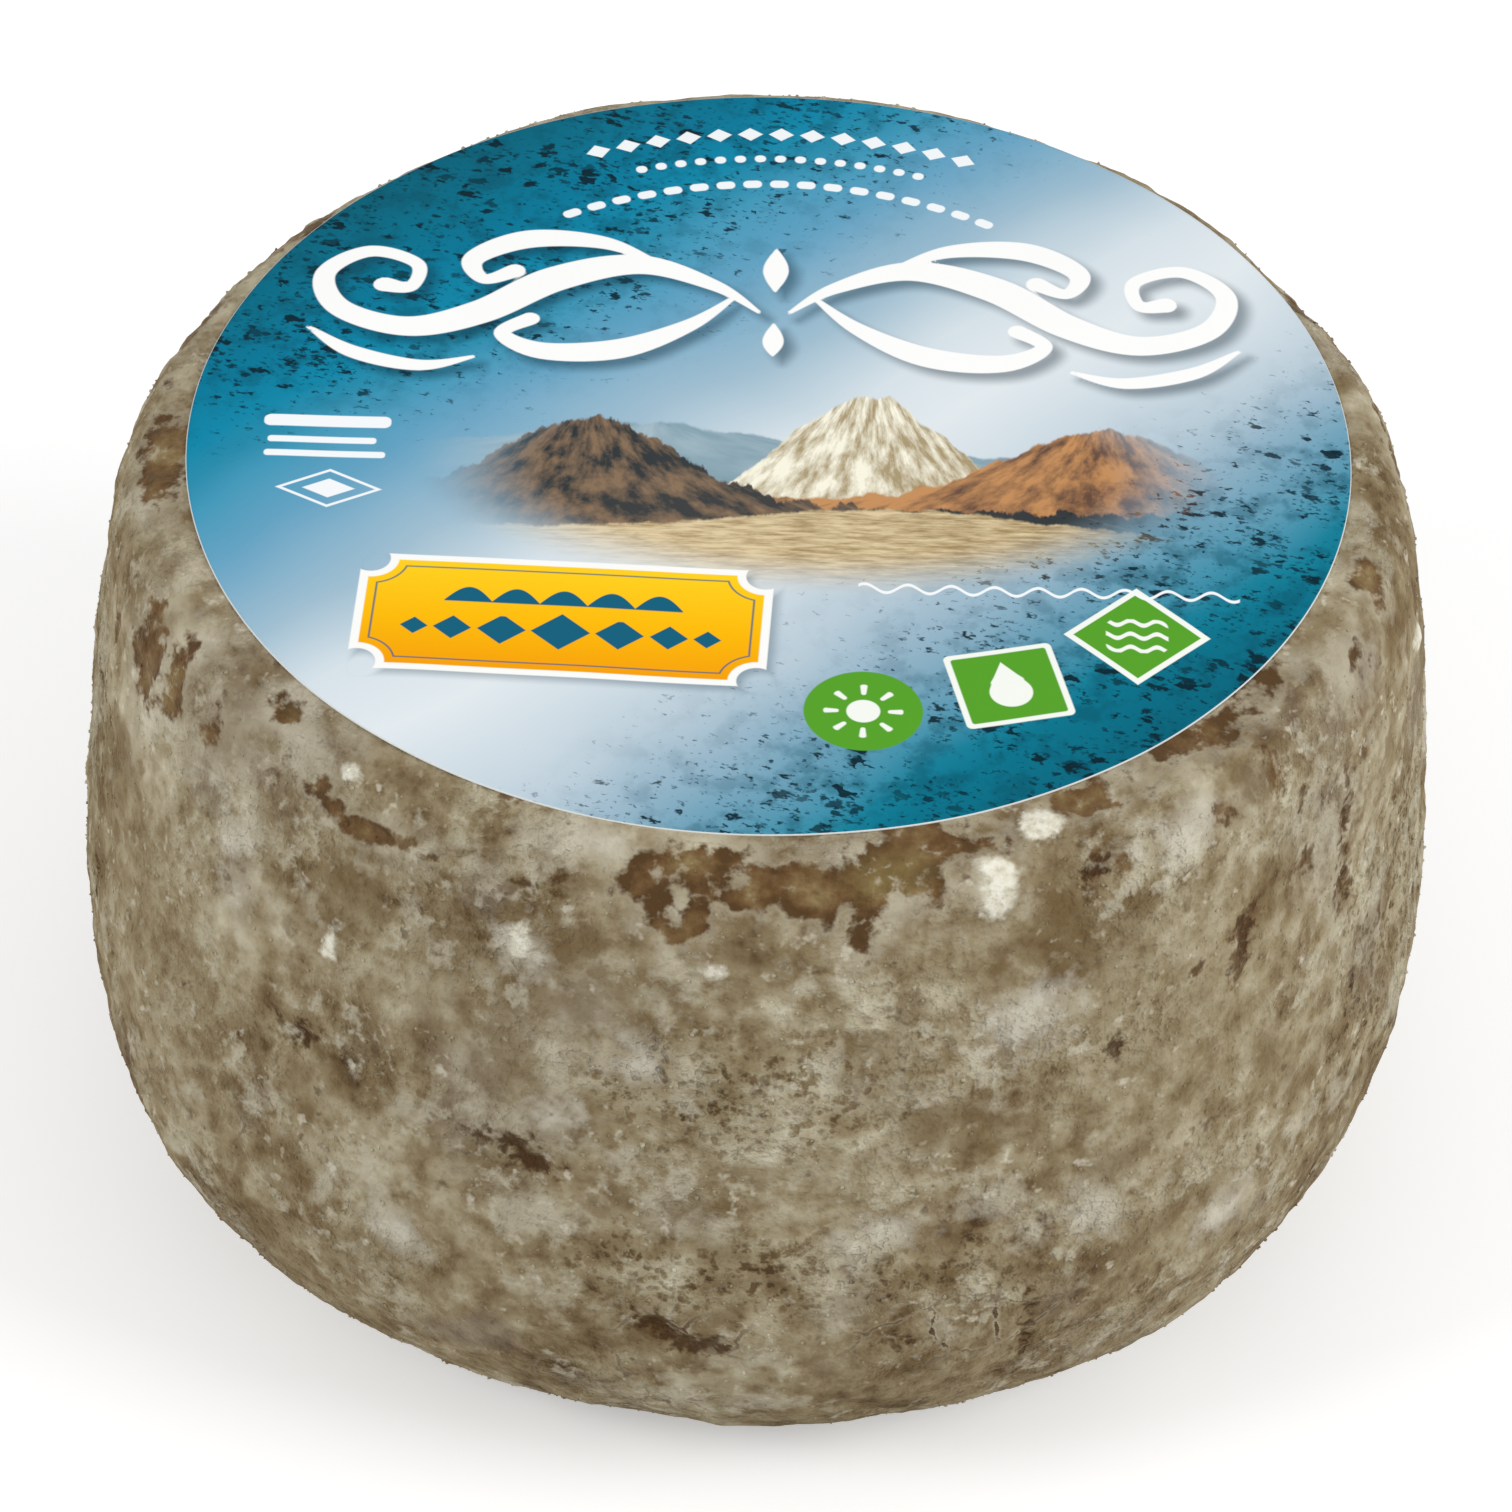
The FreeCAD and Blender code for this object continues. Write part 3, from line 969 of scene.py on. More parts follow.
def labelTree(material, sizes):
    tree, given = startTree("labelForm", sizes)
    place = addNode(tree, "GeometryNodeInputPosition")
    slope = labelSlope()
    # the sheet is laid on the sloping top face
    middle = Vector((labelMiddle.x, labelMiddle.y, labelMiddle.z - labelNet["thick"] / 2)) * toMetres
    tilt = addNode(tree, "ShaderNodeVectorMath", place, (slope[0], slope[1], 0), operation="DOT_PRODUCT")
    waveScale = addNode(tree, "ShaderNodeMath", toMillimetres, given["Wave Size"], operation="DIVIDE")
    waves = addNode(tree, "ShaderNodeTexNoise", {"Vector": place, "Scale": waveScale, "Detail": 1.0})
    waves = addNode(tree, "ShaderNodeMath", waves, 0.75, operation="SUBTRACT")
    waves = addNode(tree, "ShaderNodeMath", waves, 0.0, operation="MINIMUM")
    depth = addNode(tree, "ShaderNodeMath", given["Wave Depth"], toMetres, operation="MULTIPLY")
    lift = addNode(tree, "ShaderNodeMath", waves, depth, tilt.outputs["Value"], operation="MULTIPLY_ADD")
    reach = addNode(tree, "ShaderNodeVectorMath", place, operation="LENGTH").outputs["Value"]
    bend = addNode(tree, "ShaderNodeMapRange", reach, *labelNet["bend"], 0.0, -toMetres,
                   interpolation_type="SMOOTHSTEP")
    lift = addNode(tree, "ShaderNodeMath", bend, given["Edge Drop"], lift, operation="MULTIPLY_ADD")
    offset = addNode(tree, "ShaderNodeCombineXYZ", 0.0, 0.0, lift)
    offset = addNode(tree, "ShaderNodeVectorMath", offset, tuple(middle), operation="ADD")
    moved = addNode(tree, "GeometryNodeSetPosition", {"Geometry": given["Geometry"], "Offset": offset})
    smooth = addNode(tree, "GeometryNodeSetShadeSmooth", {"Geometry": moved})
    whole = addNode(tree, "GeometryNodeRealizeInstances", {"Geometry": smooth})
    dressed = addNode(tree, "GeometryNodeSetMaterial", {"Geometry": whole, "Material": material})
    addNode(tree, "NodeGroupOutput", {"Geometry": dressed})
    return tree


def labelSlope():
    # rise of the label's plane along X and Y, read from its CAD sheet
    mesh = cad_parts["paper_label"].data
    points = np.empty(len(mesh.vertices) * 3)
    mesh.vertices.foreach_get("co", points)
    points = points.reshape(-1, 3)
    spread = np.c_[points[:, :2], np.ones(len(points))]
    return np.linalg.lstsq(spread, points[:, 2], rcond=None)[0][:2]


printTint = {
    "turn": 43.0,     # degrees, the way that the tint runs across the label
    "wander": 7.0,
    "stops": [
        (-1.00, "#00647a"), (-0.85, "#03738b"), (-0.80, "#137e97"), (-0.74, "#4390aa"), (-0.63, "#72a2b9"),
        (-0.54, "#98b6c8"), (-0.44, "#b8cbd7"), (-0.30, "#d0dce4"), (-0.15, "#e2eaee"), (0.00, "#d6e1e8"),
        (0.09, "#bcd0dc"), (0.18, "#a0bed0"), (0.30, "#85b1ca"), (0.40, "#64a2c2"), (0.50, "#4499ba"),
        (0.56, "#2a8cac"), (0.63, "#0b87a9"), (0.75, "#017898"), (0.86, "#01708b"), (1.00, "#006076"),
    ],
}


def shifted(tree, spot, centre, turn=0.0):
    # the same place measured from another centre, turned by degrees
    moved = addNode(tree, "ShaderNodeVectorMath", spot, (*centre, 0), operation="SUBTRACT")
    if not turn:
        return moved
    return addNode(tree, "ShaderNodeVectorRotate", {"Vector": moved, "Angle": math.radians(-turn)},
                   rotation_type="Z_AXIS")


def ovalGap(tree, spot, radii):
    scaled = addNode(tree, "ShaderNodeVectorMath", spot, (1 / radii[0], 1 / radii[1], 0),
                     operation="MULTIPLY")
    length = addNode(tree, "ShaderNodeVectorMath", scaled, operation="LENGTH").outputs["Value"]
    return addNode(tree, "ShaderNodeMath", length, min(radii), -min(radii), operation="MULTIPLY_ADD")


def boxGap(tree, spot, half, corner):
    folded = addNode(tree, "ShaderNodeVectorMath", spot, operation="ABSOLUTE")
    inner = (half[0] - corner, half[1] - corner, 0)
    past = addNode(tree, "ShaderNodeVectorMath", folded, inner, operation="SUBTRACT")
    past = addNode(tree, "ShaderNodeVectorMath", past, (0, 0, 0), operation="MAXIMUM")
    length = addNode(tree, "ShaderNodeVectorMath", past, operation="LENGTH").outputs["Value"]
    return addNode(tree, "ShaderNodeMath", length, corner, operation="SUBTRACT")


def lozengeGap(tree, spot, half):
    folded = addNode(tree, "ShaderNodeVectorMath", spot, operation="ABSOLUTE")
    weights = (1 / half[0], 1 / half[1], 0)
    reach = addNode(tree, "ShaderNodeVectorMath", folded, weights, operation="DOT_PRODUCT").outputs["Value"]
    return addNode(tree, "ShaderNodeMath", reach, min(half), -min(half), operation="MULTIPLY_ADD")


def rimOf(tree, gap, width):
    # a line of a width along an outline
    line = addNode(tree, "ShaderNodeMath", gap, operation="ABSOLUTE")
    return addNode(tree, "ShaderNodeMath", line, width / 2, operation="SUBTRACT")


def tintLayer(tree, spot):
    turn = math.radians(printTint["turn"])
    way = (-math.sin(turn), math.cos(turn), 0)
    across = addNode(tree, "ShaderNodeVectorMath", spot, way, operation="DOT_PRODUCT").outputs["Value"]
    drift = swing(tree, spot, 26.0, printTint["wander"], 1.0, space="2D")
    across = addNode(tree, "ShaderNodeMath", across, drift, operation="ADD")
    share = addNode(tree, "ShaderNodeMapRange", across, -labelNet["reach"], labelNet["reach"], 0.0, 1.0)
    stops = [((place + 1) / 2, code) for place, code in printTint["stops"]]
    tint = fillRamp(addNode(tree, "ShaderNodeValToRGB", share), stops)
    return tint, addNode(tree, "ShaderNodeMath", across, 1 / labelNet["reach"], operation="MULTIPLY")


fleckPrint = {
    "turn": -14.0,
    # pitch across and up in mm, largest share of places that hold a fleck, ink, how dark it prints
    "kinds": [
        ((3.6, 2.3), 0.72, "#011c26", 0.95),
        ((2.0, 1.15), 0.66, "#022633", 0.88),
        ((1.1, 0.7), 0.62, "#03384a", 0.7),
    ],
    "gathering": 9.0,
    "mottle": "#014e62",
}


def fleckLayer(tree, spot, tint, across):
    # scattered dark specks, close together in the two deep corners
    upper = addNode(tree, "ShaderNodeMapRange", across, 0.16, 0.62, 0.0, 1.0)
    high = addNode(tree, "ShaderNodeSeparateXYZ", spot).outputs["Y"]
    high = addNode(tree, "ShaderNodeMapRange", high, -14.0, 14.0, 0.0, 1.0)
    upper = addNode(tree, "ShaderNodeMath", upper, high, operation="MULTIPLY")
    lower = addNode(tree, "ShaderNodeMapRange", across, -0.28, -0.68, 0.0, 1.0)
    dense = join(tree, upper, lower)
    gather = swing(tree, spot, fleckPrint["gathering"], 1.3, space="2D")
    gather = addNode(tree, "ShaderNodeMath", gather, 0.85, operation="ADD")
    mottled = cloud(tree, spot, 5.0, 0.48, 0.66, 0.5, 3.0, space="2D")
    tint = paint(tree, tint, fleckPrint["mottle"], join(tree, mottled, dense, dense, how="MULTIPLY"))
    faint = addNode(tree, "ShaderNodeMapRange", dense, 0.0, 0.7, 0.3, 1.0)
    turned = shifted(tree, spot, (0, 0), fleckPrint["turn"])
    for pitch, most, ink, strength in fleckPrint["kinds"]:
        scaled = addNode(tree, "ShaderNodeVectorMath", turned, (1 / pitch[0], 1 / pitch[1], 0),
                         operation="MULTIPLY")
        # a swirl tears the blots' outlines
        swirl = addNode(tree, "ShaderNodeTexNoise", scaled, 1.7, 2.0, 0.65,
                        noise_dimensions="2D").outputs["Color"]
        torn = addNode(tree, "ShaderNodeVectorMath", swirl, (1.1, 1.1, 0), scaled, operation="MULTIPLY_ADD")
        places = addNode(tree, "ShaderNodeTexVoronoi", torn, 1.0, voronoi_dimensions="2D").outputs
        chance = addNode(tree, "ShaderNodeSeparateXYZ", places["Color"]).outputs
        share = join(tree, dense, gather, most, how="MULTIPLY")
        reach = addNode(tree, "ShaderNodeMath", chance["X"], share, operation="ADD")
        reach = addNode(tree, "ShaderNodeMath", reach, 0.56, -0.56, operation="MULTIPLY_ADD")
        gap = addNode(tree, "ShaderNodeMath", places["Distance"], reach, operation="SUBTRACT")
        present = addNode(tree, "ShaderNodeMath", reach, 0.0, operation="GREATER_THAN")
        depth = addNode(tree, "ShaderNodeMapRange", chance["Y"], 0.0, 0.5, 0.6, 1.0)
        mask = join(tree, softEdge(tree, gap, 0.09, strength), present, depth, faint, how="MULTIPLY")
        tint = paint(tree, tint, ink, mask)
    return tint


sceneryPrint = {
    "centre": (7.0, -5.0),
    "radii": (54.0, 26.0),
    "layers": [
        # hill line, middle, reach and rise of its hump, roughness, how high above the line its
        # gullies meet, their count, length in mm and sharpness, then its dark and light ink
        {"line": 3.0, "hump": (-22.0, 20.0, 5.0), "rough": (9.0, 4.0), "gullies": (7.0, 4.0, 30.0, 0.22),
         "inks": ("#7797a6", "#a9bfc9")},
        {"line": -9.0, "hump": (6.0, 15.0, 24.0), "rough": (6.0, 5.0), "gullies": (33.6, 80.0, 14.0, 0.15),
         "inks": ("#a8946a", "#fbf7e2")},
        {"line": -6.0, "hump": (36.0, 17.0, 15.0), "rough": (5.0, 4.0), "gullies": (21.0, 36.0, 12.0, 0.16),
         "inks": ("#5d3a20", "#c58a4e")},
        {"line": -8.0, "hump": (-30.0, 16.0, 17.0), "rough": (3.0, 5.0), "gullies": (23.8, 46.0, 10.0, 0.15),
         "inks": ("#1d1d1b", "#86694a")},
        {"line": -13.0, "hump": (10.0, 26.0, 5.0), "rough": (4.0, 2.5), "gullies": (90.0, 220.0, 1.6, 0.18),
         "inks": ("#a08555", "#e0cb9f")},
    ],
}


def sceneryLayer(tree, spot, tint):
    # a small landscape of hills, a pale crag and a meadow that fades out all round
    place = shifted(tree, spot, sceneryPrint["centre"])
    parts = addNode(tree, "ShaderNodeSeparateXYZ", place).outputs
    view = tint
    for i, layer in enumerate(sceneryPrint["layers"]):
        middle, reach, rise = layer["hump"]
        size, height = layer["rough"]
        off = addNode(tree, "ShaderNodeMath", parts["X"], 1 / reach, -middle / reach,
                      operation="MULTIPLY_ADD")
        square = addNode(tree, "ShaderNodeMath", off, off, operation="MULTIPLY")
        square = addNode(tree, "ShaderNodeMath", square, -1.0, operation="MULTIPLY")
        hump = addNode(tree, "ShaderNodeMath", math.e, square, operation="POWER")
        line = addNode(tree, "ShaderNodeMath", hump, rise, layer["line"], operation="MULTIPLY_ADD")
        flat = addNode(tree, "ShaderNodeVectorMath", place, (1, 0.35, 0), (0, 31.0 * i, 0),
                       operation="MULTIPLY_ADD")
        line = addNode(tree, "ShaderNodeMath", line, swing(tree, flat, size, height, 4.0, 0.6, "2D"),
                       operation="ADD")
        gap = addNode(tree, "ShaderNodeMath", parts["Y"], line, operation="SUBTRACT")
        # gullies run down from the summit, and the light comes from the left
        above, count, length, sharp = layer["gullies"]
        drop = addNode(tree, "ShaderNodeMath", layer["line"] + above, parts["Y"], operation="SUBTRACT")
        fan = addNode(tree, "ShaderNodeMath", off, drop, operation="DIVIDE")
        fan = addNode(tree, "ShaderNodeMath", fan, count, operation="MULTIPLY")
        down = addNode(tree, "ShaderNodeMath", drop, 1 / length, 7.0 * i, operation="MULTIPLY_ADD")
        slope = addNode(tree, "ShaderNodeCombineXYZ", fan, down, 0.0)
        grain = addNode(tree, "ShaderNodeTexNoise", slope, 2.2, 4.0, 0.62, noise_dimensions="2D")
        flank = addNode(tree, "ShaderNodeMath", off, -0.06, grain, operation="MULTIPLY_ADD")
        light = addNode(tree, "ShaderNodeMapRange", flank, 0.5 - sharp, 0.5 + sharp, 0.0, 1.0)
        ink = paint(tree, linearColour(layer["inks"][0]), layer["inks"][1], light)
        view = paint(tree, view, ink, softEdge(tree, gap, 0.35))
    away = ovalGap(tree, place, sceneryPrint["radii"])
    fade = addNode(tree, "ShaderNodeMapRange", away, -9.0, 0.0, 0.95, 0.0, interpolation_type="SMOOTHSTEP")
    return paint(tree, tint, view, fade)


flourishPrint = {
    "centre": (0.0, 28.0),
    "shadow": (1.3, -1.5),
    "ink": "#fdfdfc",
    "shadowInk": "#0a3547",
    # right half of the scroll: across, up and half of the brush's width along each stroke
    "strokes": [
        [(2.0, -1.0, 0.3), (8, 4.5, 1.1), (18, 8.5, 2.0), (29, 5, 2.6), (38.5, -2.5, 2.4), (48, -6, 2.0),
         (57, -2.5, 1.7), (59.5, 5, 1.4), (54, 10, 1.2), (47.5, 7.5, 1.0), (48, 2.5, 1.0), (51.5, 2.8, 1.5)],
        [(15, 8.5, 0.3), (23, 13, 1.3), (33, 13.5, 1.9), (40, 9, 1.5), (38.5, 4.5, 1.0), (34.5, 6.5, 1.4)],
        [(5, 2.5, 0.3), (11, -4, 1.2), (20, -9.5, 2.0), (30, -10.5, 1.7), (35.5, -7, 1.1), (32, -3.8, 1.3)],
        [(39, -12, 0.3), (46, -14, 1.1), (55, -11.5, 1.2), (61, -6.5, 0.3)],
        [(0, 3.5, 0.2), (0, 8, 1.7), (0, 12.5, 0.2)],
        [(0, -3.5, 0.2), (0, -7, 1.4), (0, -10, 0.2)],
    ],
    "steps": 9,
}


def brushLine(stroke):
    # a smooth line through the stroke's points, with its half width
    points = np.array([stroke[0], *stroke, stroke[-1]], float)
    line = []
    for i in range(len(points) - 3):
        p, q, r, s = points[i:i + 4]
        for t in np.arange(flourishPrint["steps"]) / flourishPrint["steps"]:
            line.append(0.5 * (2 * q + (r - p) * t + (2 * p - 5 * q + 4 * r - s) * t ** 2
                               + (3 * q - p - 3 * r + s) * t ** 3))
    return np.array([*line, points[-1]])


def strokeGap(points):
    # how far each point lies outside the brush strokes, in mm
    folded = np.abs(points[:, 0])
    gap = np.full(len(points), 99.0)
    for stroke in flourishPrint["strokes"]:
        line = brushLine(stroke)
        for (ax, ay, aw), (bx, by, bw) in zip(line, line[1:]):
            length = (bx - ax) ** 2 + (by - ay) ** 2
            along = ((folded - ax) * (bx - ax) + (points[:, 1] - ay) * (by - ay)) / max(length, 1e-9)
            along = np.clip(along, 0, 1)
            away = np.hypot(folded - ax - along * (bx - ax), points[:, 1] - ay - along * (by - ay))
            gap = np.minimum(gap, away - aw - along * (bw - aw))
    return gap


def markStrokes(mesh):
    # the label's points carry the scroll, because its line runs through listed points and is not a formula
    places = np.empty(len(mesh.vertices) * 3)
    mesh.vertices.foreach_get("co", places)
    places = places.reshape(-1, 3)[:, :2] * toMillimetres - np.array(flourishPrint["centre"])
    for name, shift in (("scrollGap", (0, 0)), ("scrollShadow", flourishPrint["shadow"])):
        field = mesh.attributes.new(name, "FLOAT", "POINT")
        field.data.foreach_set("value", strokeGap(places - np.array(shift)).astype(np.float32))


def flourishLayer(tree, tint):
    shade = addNode(tree, "ShaderNodeAttribute", attribute_name="scrollShadow").outputs["Fac"]
    gap = addNode(tree, "ShaderNodeAttribute", attribute_name="scrollGap").outputs["Fac"]
    shade = addNode(tree, "ShaderNodeMapRange", shade, 1.5, -1.2, 0.0, 0.6, interpolation_type="SMOOTHSTEP")
    tint = paint(tree, tint, flourishPrint["shadowInk"], shade)
    return paint(tree, tint, flourishPrint["ink"], softEdge(tree, gap, 0.15))


chainPrint = {
    "ink": "#f4f8fa",
    # radius of the arc, half of its length, pitch, half width and height of a bead, lozenge or bar
    "arcs": [
        (66.0, 27.0, 4.2, (1.7, 1.5), "lozenge"),
        (60.4, 19.0, 2.7, (0.75, 0.75), "bar"),
        (54.8, 28.8, 3.6, (1.25, 0.8), "bar"),
    ],
}


def chainLayer(tree, spot, tint):
    # beads and lozenges on arcs that follow the label's upper rim
    parts = addNode(tree, "ShaderNodeSeparateXYZ", spot).outputs
    turn = addNode(tree, "ShaderNodeMath", parts["X"], parts["Y"], operation="ARCTAN2")
    reach = addNode(tree, "ShaderNodeVectorMath", spot, operation="LENGTH").outputs["Value"]
    for radius, extent, pitch, half, form in chainPrint["arcs"]:
        along = addNode(tree, "ShaderNodeMath", turn, radius, operation="MULTIPLY")
        folded = addNode(tree, "ShaderNodeMath", along, pitch / 2, -pitch / 2, operation="WRAP")
        off = addNode(tree, "ShaderNodeMath", reach, radius, operation="SUBTRACT")
        bead = addNode(tree, "ShaderNodeCombineXYZ", folded, off, 0.0)
        gap = lozengeGap(tree, bead, half) if form == "lozenge" else boxGap(tree, bead, half, min(half) * 0.9)
        past = addNode(tree, "ShaderNodeMath", along, operation="ABSOLUTE")
        past = addNode(tree, "ShaderNodeMath", past, (round(extent / pitch) + 0.5) * pitch,
                       operation="SUBTRACT")
        tint = paint(tree, tint, chainPrint["ink"], softEdge(tree, join(tree, gap, past)))
    return tint


plaquePrint = {
    "centre": (-25.0, -36.0),
    "turn": -2.0,
    "half": (25.0, 10.0),
    "scoop": 3.6,
    "border": 1.1,
    "golds": [(0.0, "#f6a000"), (0.45, "#fdbb00"), (1.0, "#ffd21c")],
    "ink": "#12607c",
    "shadow": "#1d4a5c",
    "edge": "#fbfbf8",
    # how far each lozenge lies to the side, and its size
    "lozenges": ((0.0, 3.4), (7.4, 2.8), (13.6, 2.2), (18.4, 1.6)),
}


def plaqueLayer(tree, spot, tint):
    # a golden ticket with scooped corners, a white border and a row of hills over lozenges
    place = shifted(tree, spot, plaquePrint["centre"], plaquePrint["turn"])
    shadowPlace = shifted(tree, place, (0.8, -0.9))
    half, scoop = plaquePrint["half"], plaquePrint["scoop"]

    def ticketGap(where, grow):
        folded = addNode(tree, "ShaderNodeVectorMath", where, operation="ABSOLUTE")
        corner = addNode(tree, "ShaderNodeVectorMath", folded, (*half, 0),
                         operation="DISTANCE").outputs["Value"]
        inside = addNode(tree, "ShaderNodeMath", scoop - grow, corner, operation="SUBTRACT")
        return join(tree, boxGap(tree, where, (half[0] + grow, half[1] + grow), 1.0), inside)

    tint = paint(tree, tint, plaquePrint["shadow"],
                 softEdge(tree, ticketGap(shadowPlace, plaquePrint["border"]), 1.0, 0.45))
    tint = paint(tree, tint, plaquePrint["edge"], softEdge(tree, ticketGap(place, plaquePrint["border"])))
    parts = addNode(tree, "ShaderNodeSeparateXYZ", place).outputs
    share = addNode(tree, "ShaderNodeMapRange", parts["Y"], -half[1], half[1], 0.0, 1.0)
    gold = fillRamp(addNode(tree, "ShaderNodeValToRGB", share), plaquePrint["golds"])
    tint = paint(tree, tint, gold, softEdge(tree, ticketGap(place, 0.0)))
    line = rimOf(tree, ticketGap(place, -1.2), 0.28)
    marks = softEdge(tree, line, 0.1, 0.8)
    for across, size in plaquePrint["lozenges"]:
        folded = addNode(tree, "ShaderNodeVectorMath", place, operation="ABSOLUTE") if across else place
        lozenge = shifted(tree, folded, (across, 2.6)) if across else shifted(tree, place, (0, -2.6))
        if across:
            low = addNode(tree, "ShaderNodeMapRange", parts["Y"], 0.0, -0.2, 0.0, 1.0)
            shape = softEdge(tree, lozengeGap(tree, lozenge, (size * 1.1, size)))
            marks = join(tree, marks, join(tree, shape, low, how="MULTIPLY"))
        else:
            marks = join(tree, marks, softEdge(tree, lozengeGap(tree, lozenge, (size * 1.1, size))))
    wave = addNode(tree, "ShaderNodeMath", parts["X"], math.pi / 6.0, math.pi / 2, operation="MULTIPLY_ADD")
    wave = addNode(tree, "ShaderNodeMath", wave, operation="SINE")
    wave = addNode(tree, "ShaderNodeMath", wave, operation="ABSOLUTE")
    crest = addNode(tree, "ShaderNodeMath", wave, 2.6, 2.6, operation="MULTIPLY_ADD")
    over = addNode(tree, "ShaderNodeMath", parts["Y"], crest, operation="SUBTRACT")
    foot = addNode(tree, "ShaderNodeMath", 2.4, parts["Y"], operation="SUBTRACT")
    side = addNode(tree, "ShaderNodeMath", parts["X"], operation="ABSOLUTE")
    side = addNode(tree, "ShaderNodeMath", side, 15.0, operation="SUBTRACT")
    marks = join(tree, marks, softEdge(tree, join(tree, over, foot, side)))
    return paint(tree, tint, plaquePrint["ink"], marks)


sealPrint = {
    "green": "#56a12a",
    "white": "#f4f8f0",
    "round": {"centre": (13.0, -52.0), "radius": 7.4},
    "square": {"centre": (31.0, -46.5), "half": 6.9},
    "lozenge": {"centre": (47.0, -36.5), "half": 9.2},
}


def sealLayer(tree, spot, tint):
    # three green shapes in a row along the rim, with a sun, a drop and waves in white
    green, white = sealPrint["green"], sealPrint["white"]
    place = shifted(tree, spot, sealPrint["round"]["centre"])
    radius = sealPrint["round"]["radius"]
    tint = paint(tree, tint, green, softEdge(tree, ovalGap(tree, place, (radius, radius))))
    sun = ovalGap(tree, place, (2.1, 2.1))
    rays = addNode(tree, "ShaderNodeSeparateXYZ", place).outputs
    turn = addNode(tree, "ShaderNodeMath", rays["X"], rays["Y"], operation="ARCTAN2")
    turn = addNode(tree, "ShaderNodeMath", turn, math.pi / 8, -math.pi / 8, operation="WRAP")
    turn = addNode(tree, "ShaderNodeMath", turn, 3.8, operation="MULTIPLY")
    reach = addNode(tree, "ShaderNodeVectorMath", place, operation="LENGTH").outputs["Value"]
    reach = addNode(tree, "ShaderNodeMath", reach, 4.0, operation="SUBTRACT")
    ray = boxGap(tree, addNode(tree, "ShaderNodeCombineXYZ", turn, reach, 0.0), (0.36, 0.95), 0.3)
    tint = paint(tree, tint, white, softEdge(tree, join(tree, sun, ray, how="MINIMUM")))

    place = shifted(tree, spot, sealPrint["square"]["centre"], 14.0)
    half = sealPrint["square"]["half"]
    tint = paint(tree, tint, white, softEdge(tree, boxGap(tree, place, (half, half), 0.8)))
    tint = paint(tree, tint, green, softEdge(tree, boxGap(tree, place, (half - 0.8, half - 0.8), 0.4)))
    ball = ovalGap(tree, shifted(tree, place, (0, -1.2)), (2.7, 2.7))
    tip = lozengeGap(tree, shifted(tree, place, (0, 1.0)), (2.0, 3.5))
    drop = addNode(tree, "ShaderNodeMath", ball, tip, 1.2, operation="SMOOTH_MIN")
    tint = paint(tree, tint, white, softEdge(tree, drop))

    place = shifted(tree, spot, sealPrint["lozenge"]["centre"])
    half = sealPrint["lozenge"]["half"]
    outline = lozengeGap(tree, place, (half, half))
    tint = paint(tree, tint, white, softEdge(tree, outline))
    within = addNode(tree, "ShaderNodeMath", outline, 1.2, operation="ADD")
    tint = paint(tree, tint, green, softEdge(tree, within))
    parts = addNode(tree, "ShaderNodeSeparateXYZ", place).outputs
    wave = addNode(tree, "ShaderNodeMath", parts["X"], 1.9, operation="MULTIPLY")
    wave = addNode(tree, "ShaderNodeMath", wave, operation="SINE")
    rise = addNode(tree, "ShaderNodeMath", wave, 0.45, parts["Y"], operation="MULTIPLY_ADD")
    rise = addNode(tree, "ShaderNodeMath", rise, 1.25, -1.25, operation="WRAP")
    line = addNode(tree, "ShaderNodeCombineXYZ", 0.0, rise, 0.0)
    waves = boxGap(tree, line, (0.4, 0.4), 0.3)
    room = boxGap(tree, place, (3.9, 3.2), 1.5)
    return paint(tree, tint, white, softEdge(tree, join(tree, waves, room)))


barPrint = {
    "ink": "#f6f9fb",
    "bars": [((-57.0, 2.0), (8.2, 1.15)), ((-57.5, -1.8), (7.0, 0.62)), ((-57.0, -4.6), (7.8, 0.62))],
    "lozenge": ((-56.0, -11.5), (6.4, 3.6)),
    "wave": ((36.0, -28.5), 24.0),
}


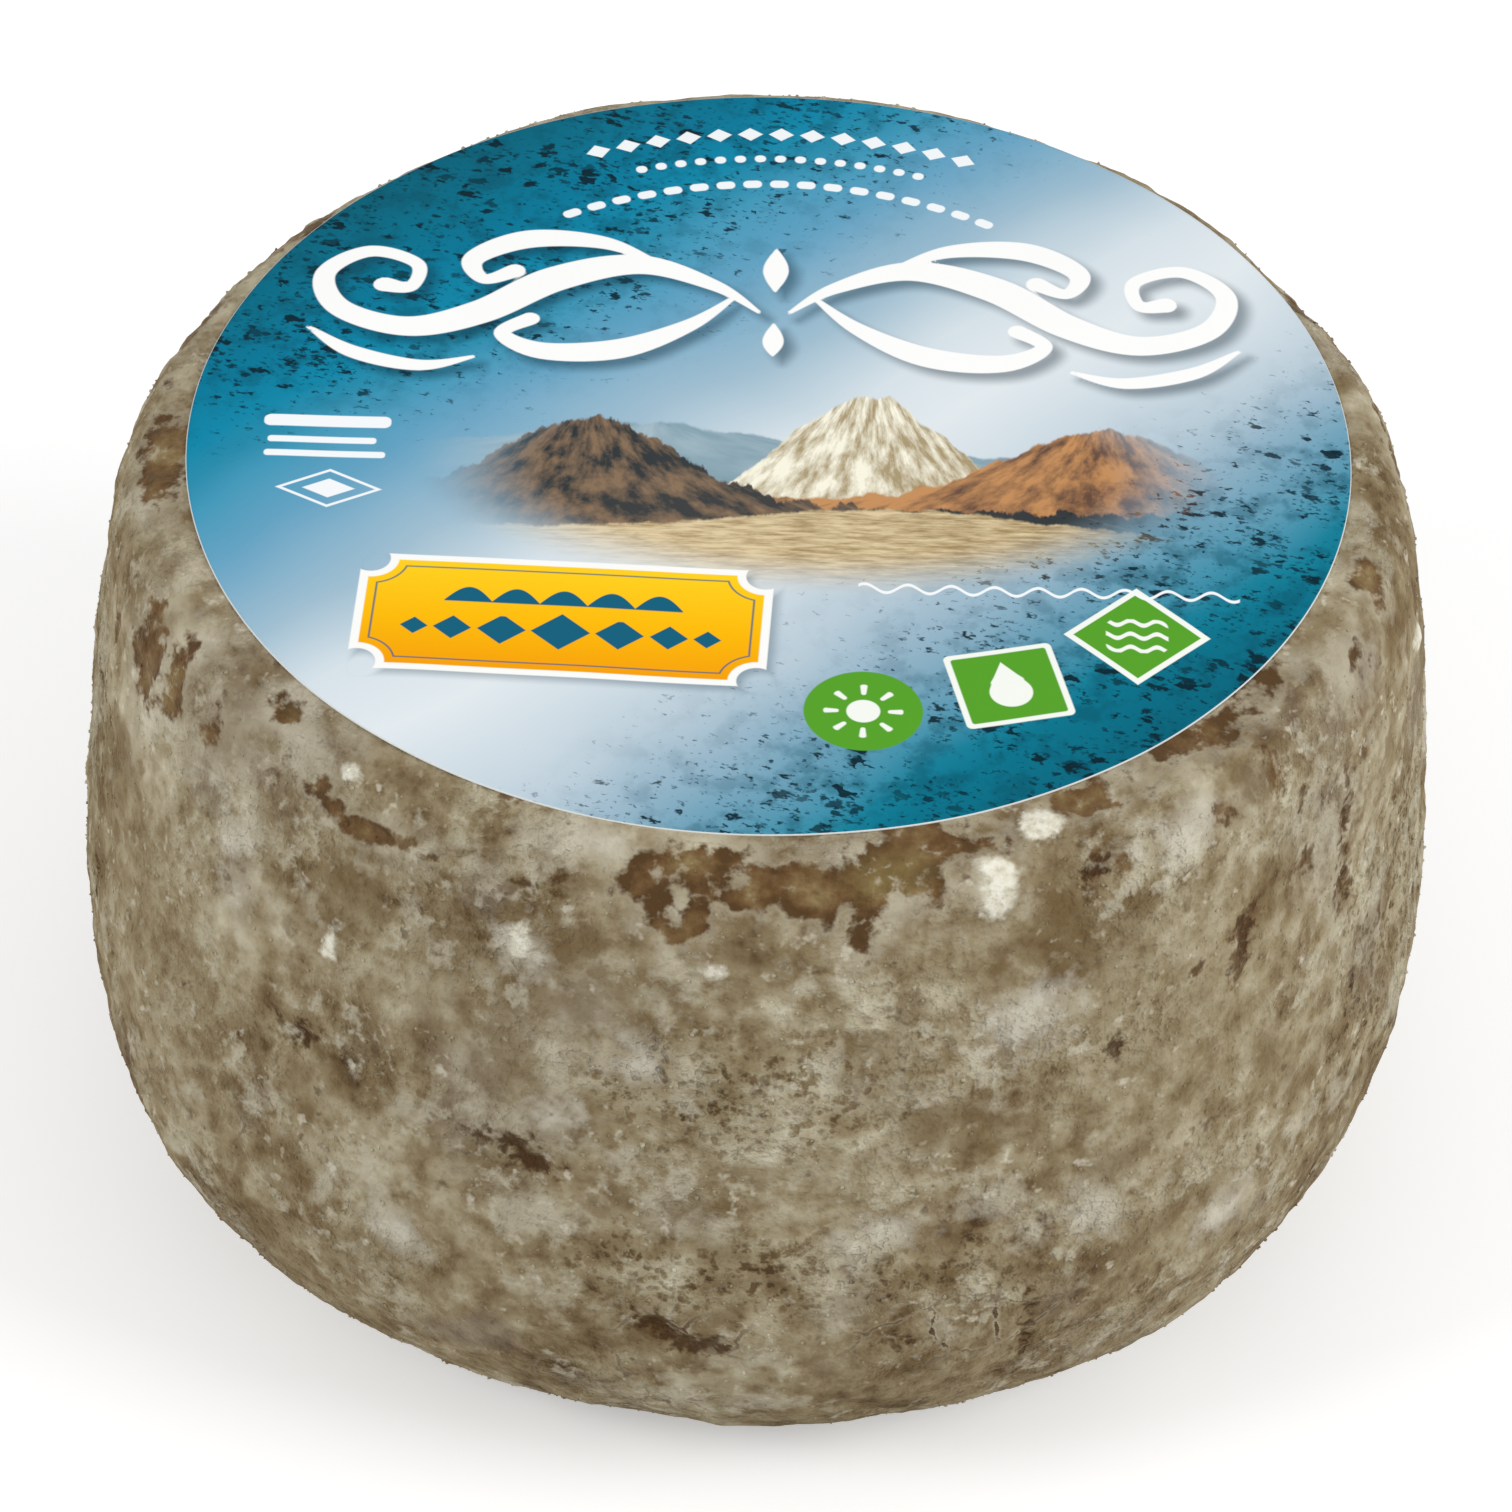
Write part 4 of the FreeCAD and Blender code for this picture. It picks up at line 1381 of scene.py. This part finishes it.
def barLayer(tree, spot, tint):
    # short plain bars over a small lozenge, and a thin wave line on the other side
    marks = 0.0
    for centre, half in barPrint["bars"]:
        marks = join(tree, marks,
                     softEdge(tree, boxGap(tree, shifted(tree, spot, centre), half, half[1] * 0.8)))
    centre, half = barPrint["lozenge"]
    place = shifted(tree, spot, centre)
    outline = lozengeGap(tree, place, half)
    inner = addNode(tree, "ShaderNodeMath", outline, 1.7, operation="ADD")
    marks = join(tree, marks, softEdge(tree, join(tree, rimOf(tree, outline, 0.5), inner, how="MINIMUM")))
    centre, reach = barPrint["wave"]
    place = addNode(tree, "ShaderNodeSeparateXYZ", shifted(tree, spot, centre)).outputs
    wave = addNode(tree, "ShaderNodeMath", place["X"], 1.15, operation="MULTIPLY")
    wave = addNode(tree, "ShaderNodeMath", wave, operation="SINE")
    rise = addNode(tree, "ShaderNodeMath", wave, 0.8, place["Y"], operation="MULTIPLY_ADD")
    line = rimOf(tree, rise, 0.55)
    past = addNode(tree, "ShaderNodeMath", place["X"], operation="ABSOLUTE")
    past = addNode(tree, "ShaderNodeMath", past, reach, operation="SUBTRACT")
    marks = join(tree, marks, softEdge(tree, join(tree, line, past)))
    return paint(tree, tint, barPrint["ink"], marks)


def labelPaperMaterial():
    # Coated label paper, offset printed: even tints under a faint satin skin.
    material, tree = startMaterial("printed_paper")
    place = addNode(tree, "ShaderNodeTexCoord").outputs["Object"]
    middle = tuple(v * toMetres for v in labelMiddle)
    place = addNode(tree, "ShaderNodeVectorMath", place, middle, operation="SUBTRACT")
    spot = addNode(tree, "ShaderNodeVectorMath", place, (1000, 1000, 0), operation="MULTIPLY")
    colour, across = tintLayer(tree, spot)
    colour = fleckLayer(tree, spot, colour, across)
    colour = sceneryLayer(tree, spot, colour)
    colour = chainLayer(tree, spot, colour)
    colour = flourishLayer(tree, colour)
    colour = plaqueLayer(tree, spot, colour)
    colour = sealLayer(tree, spot, colour)
    colour = barLayer(tree, spot, colour)
    rim = addNode(tree, "ShaderNodeVectorMath", spot, operation="LENGTH").outputs["Value"]
    rim = addNode(tree, "ShaderNodeMath", 74.88, rim, operation="SUBTRACT")
    colour = paint(tree, colour, "#dfe2e0", softEdge(tree, rim, 0.06))
    surface = addNode(tree, "ShaderNodeBsdfPrincipled", {
        "Base Color": colour, "Roughness": 0.6, "IOR": 1.5, "Specular IOR Level": 0.05})
    addNode(tree, "ShaderNodeOutputMaterial", {"Surface": surface})
    return material


labelMaterial = labelPaperMaterial()
labelBase = labelMesh()
markStrokes(labelBase)
label = growPiece("paperLabel", labelBase, labelTree(labelMaterial, labelSizes), labelSizes)


# Hand over

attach(rind, "root")
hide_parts("cheese_wheel")
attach(crumbs, "root")
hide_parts("cheese_wheel")
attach(label, "root")
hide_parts("paper_label")
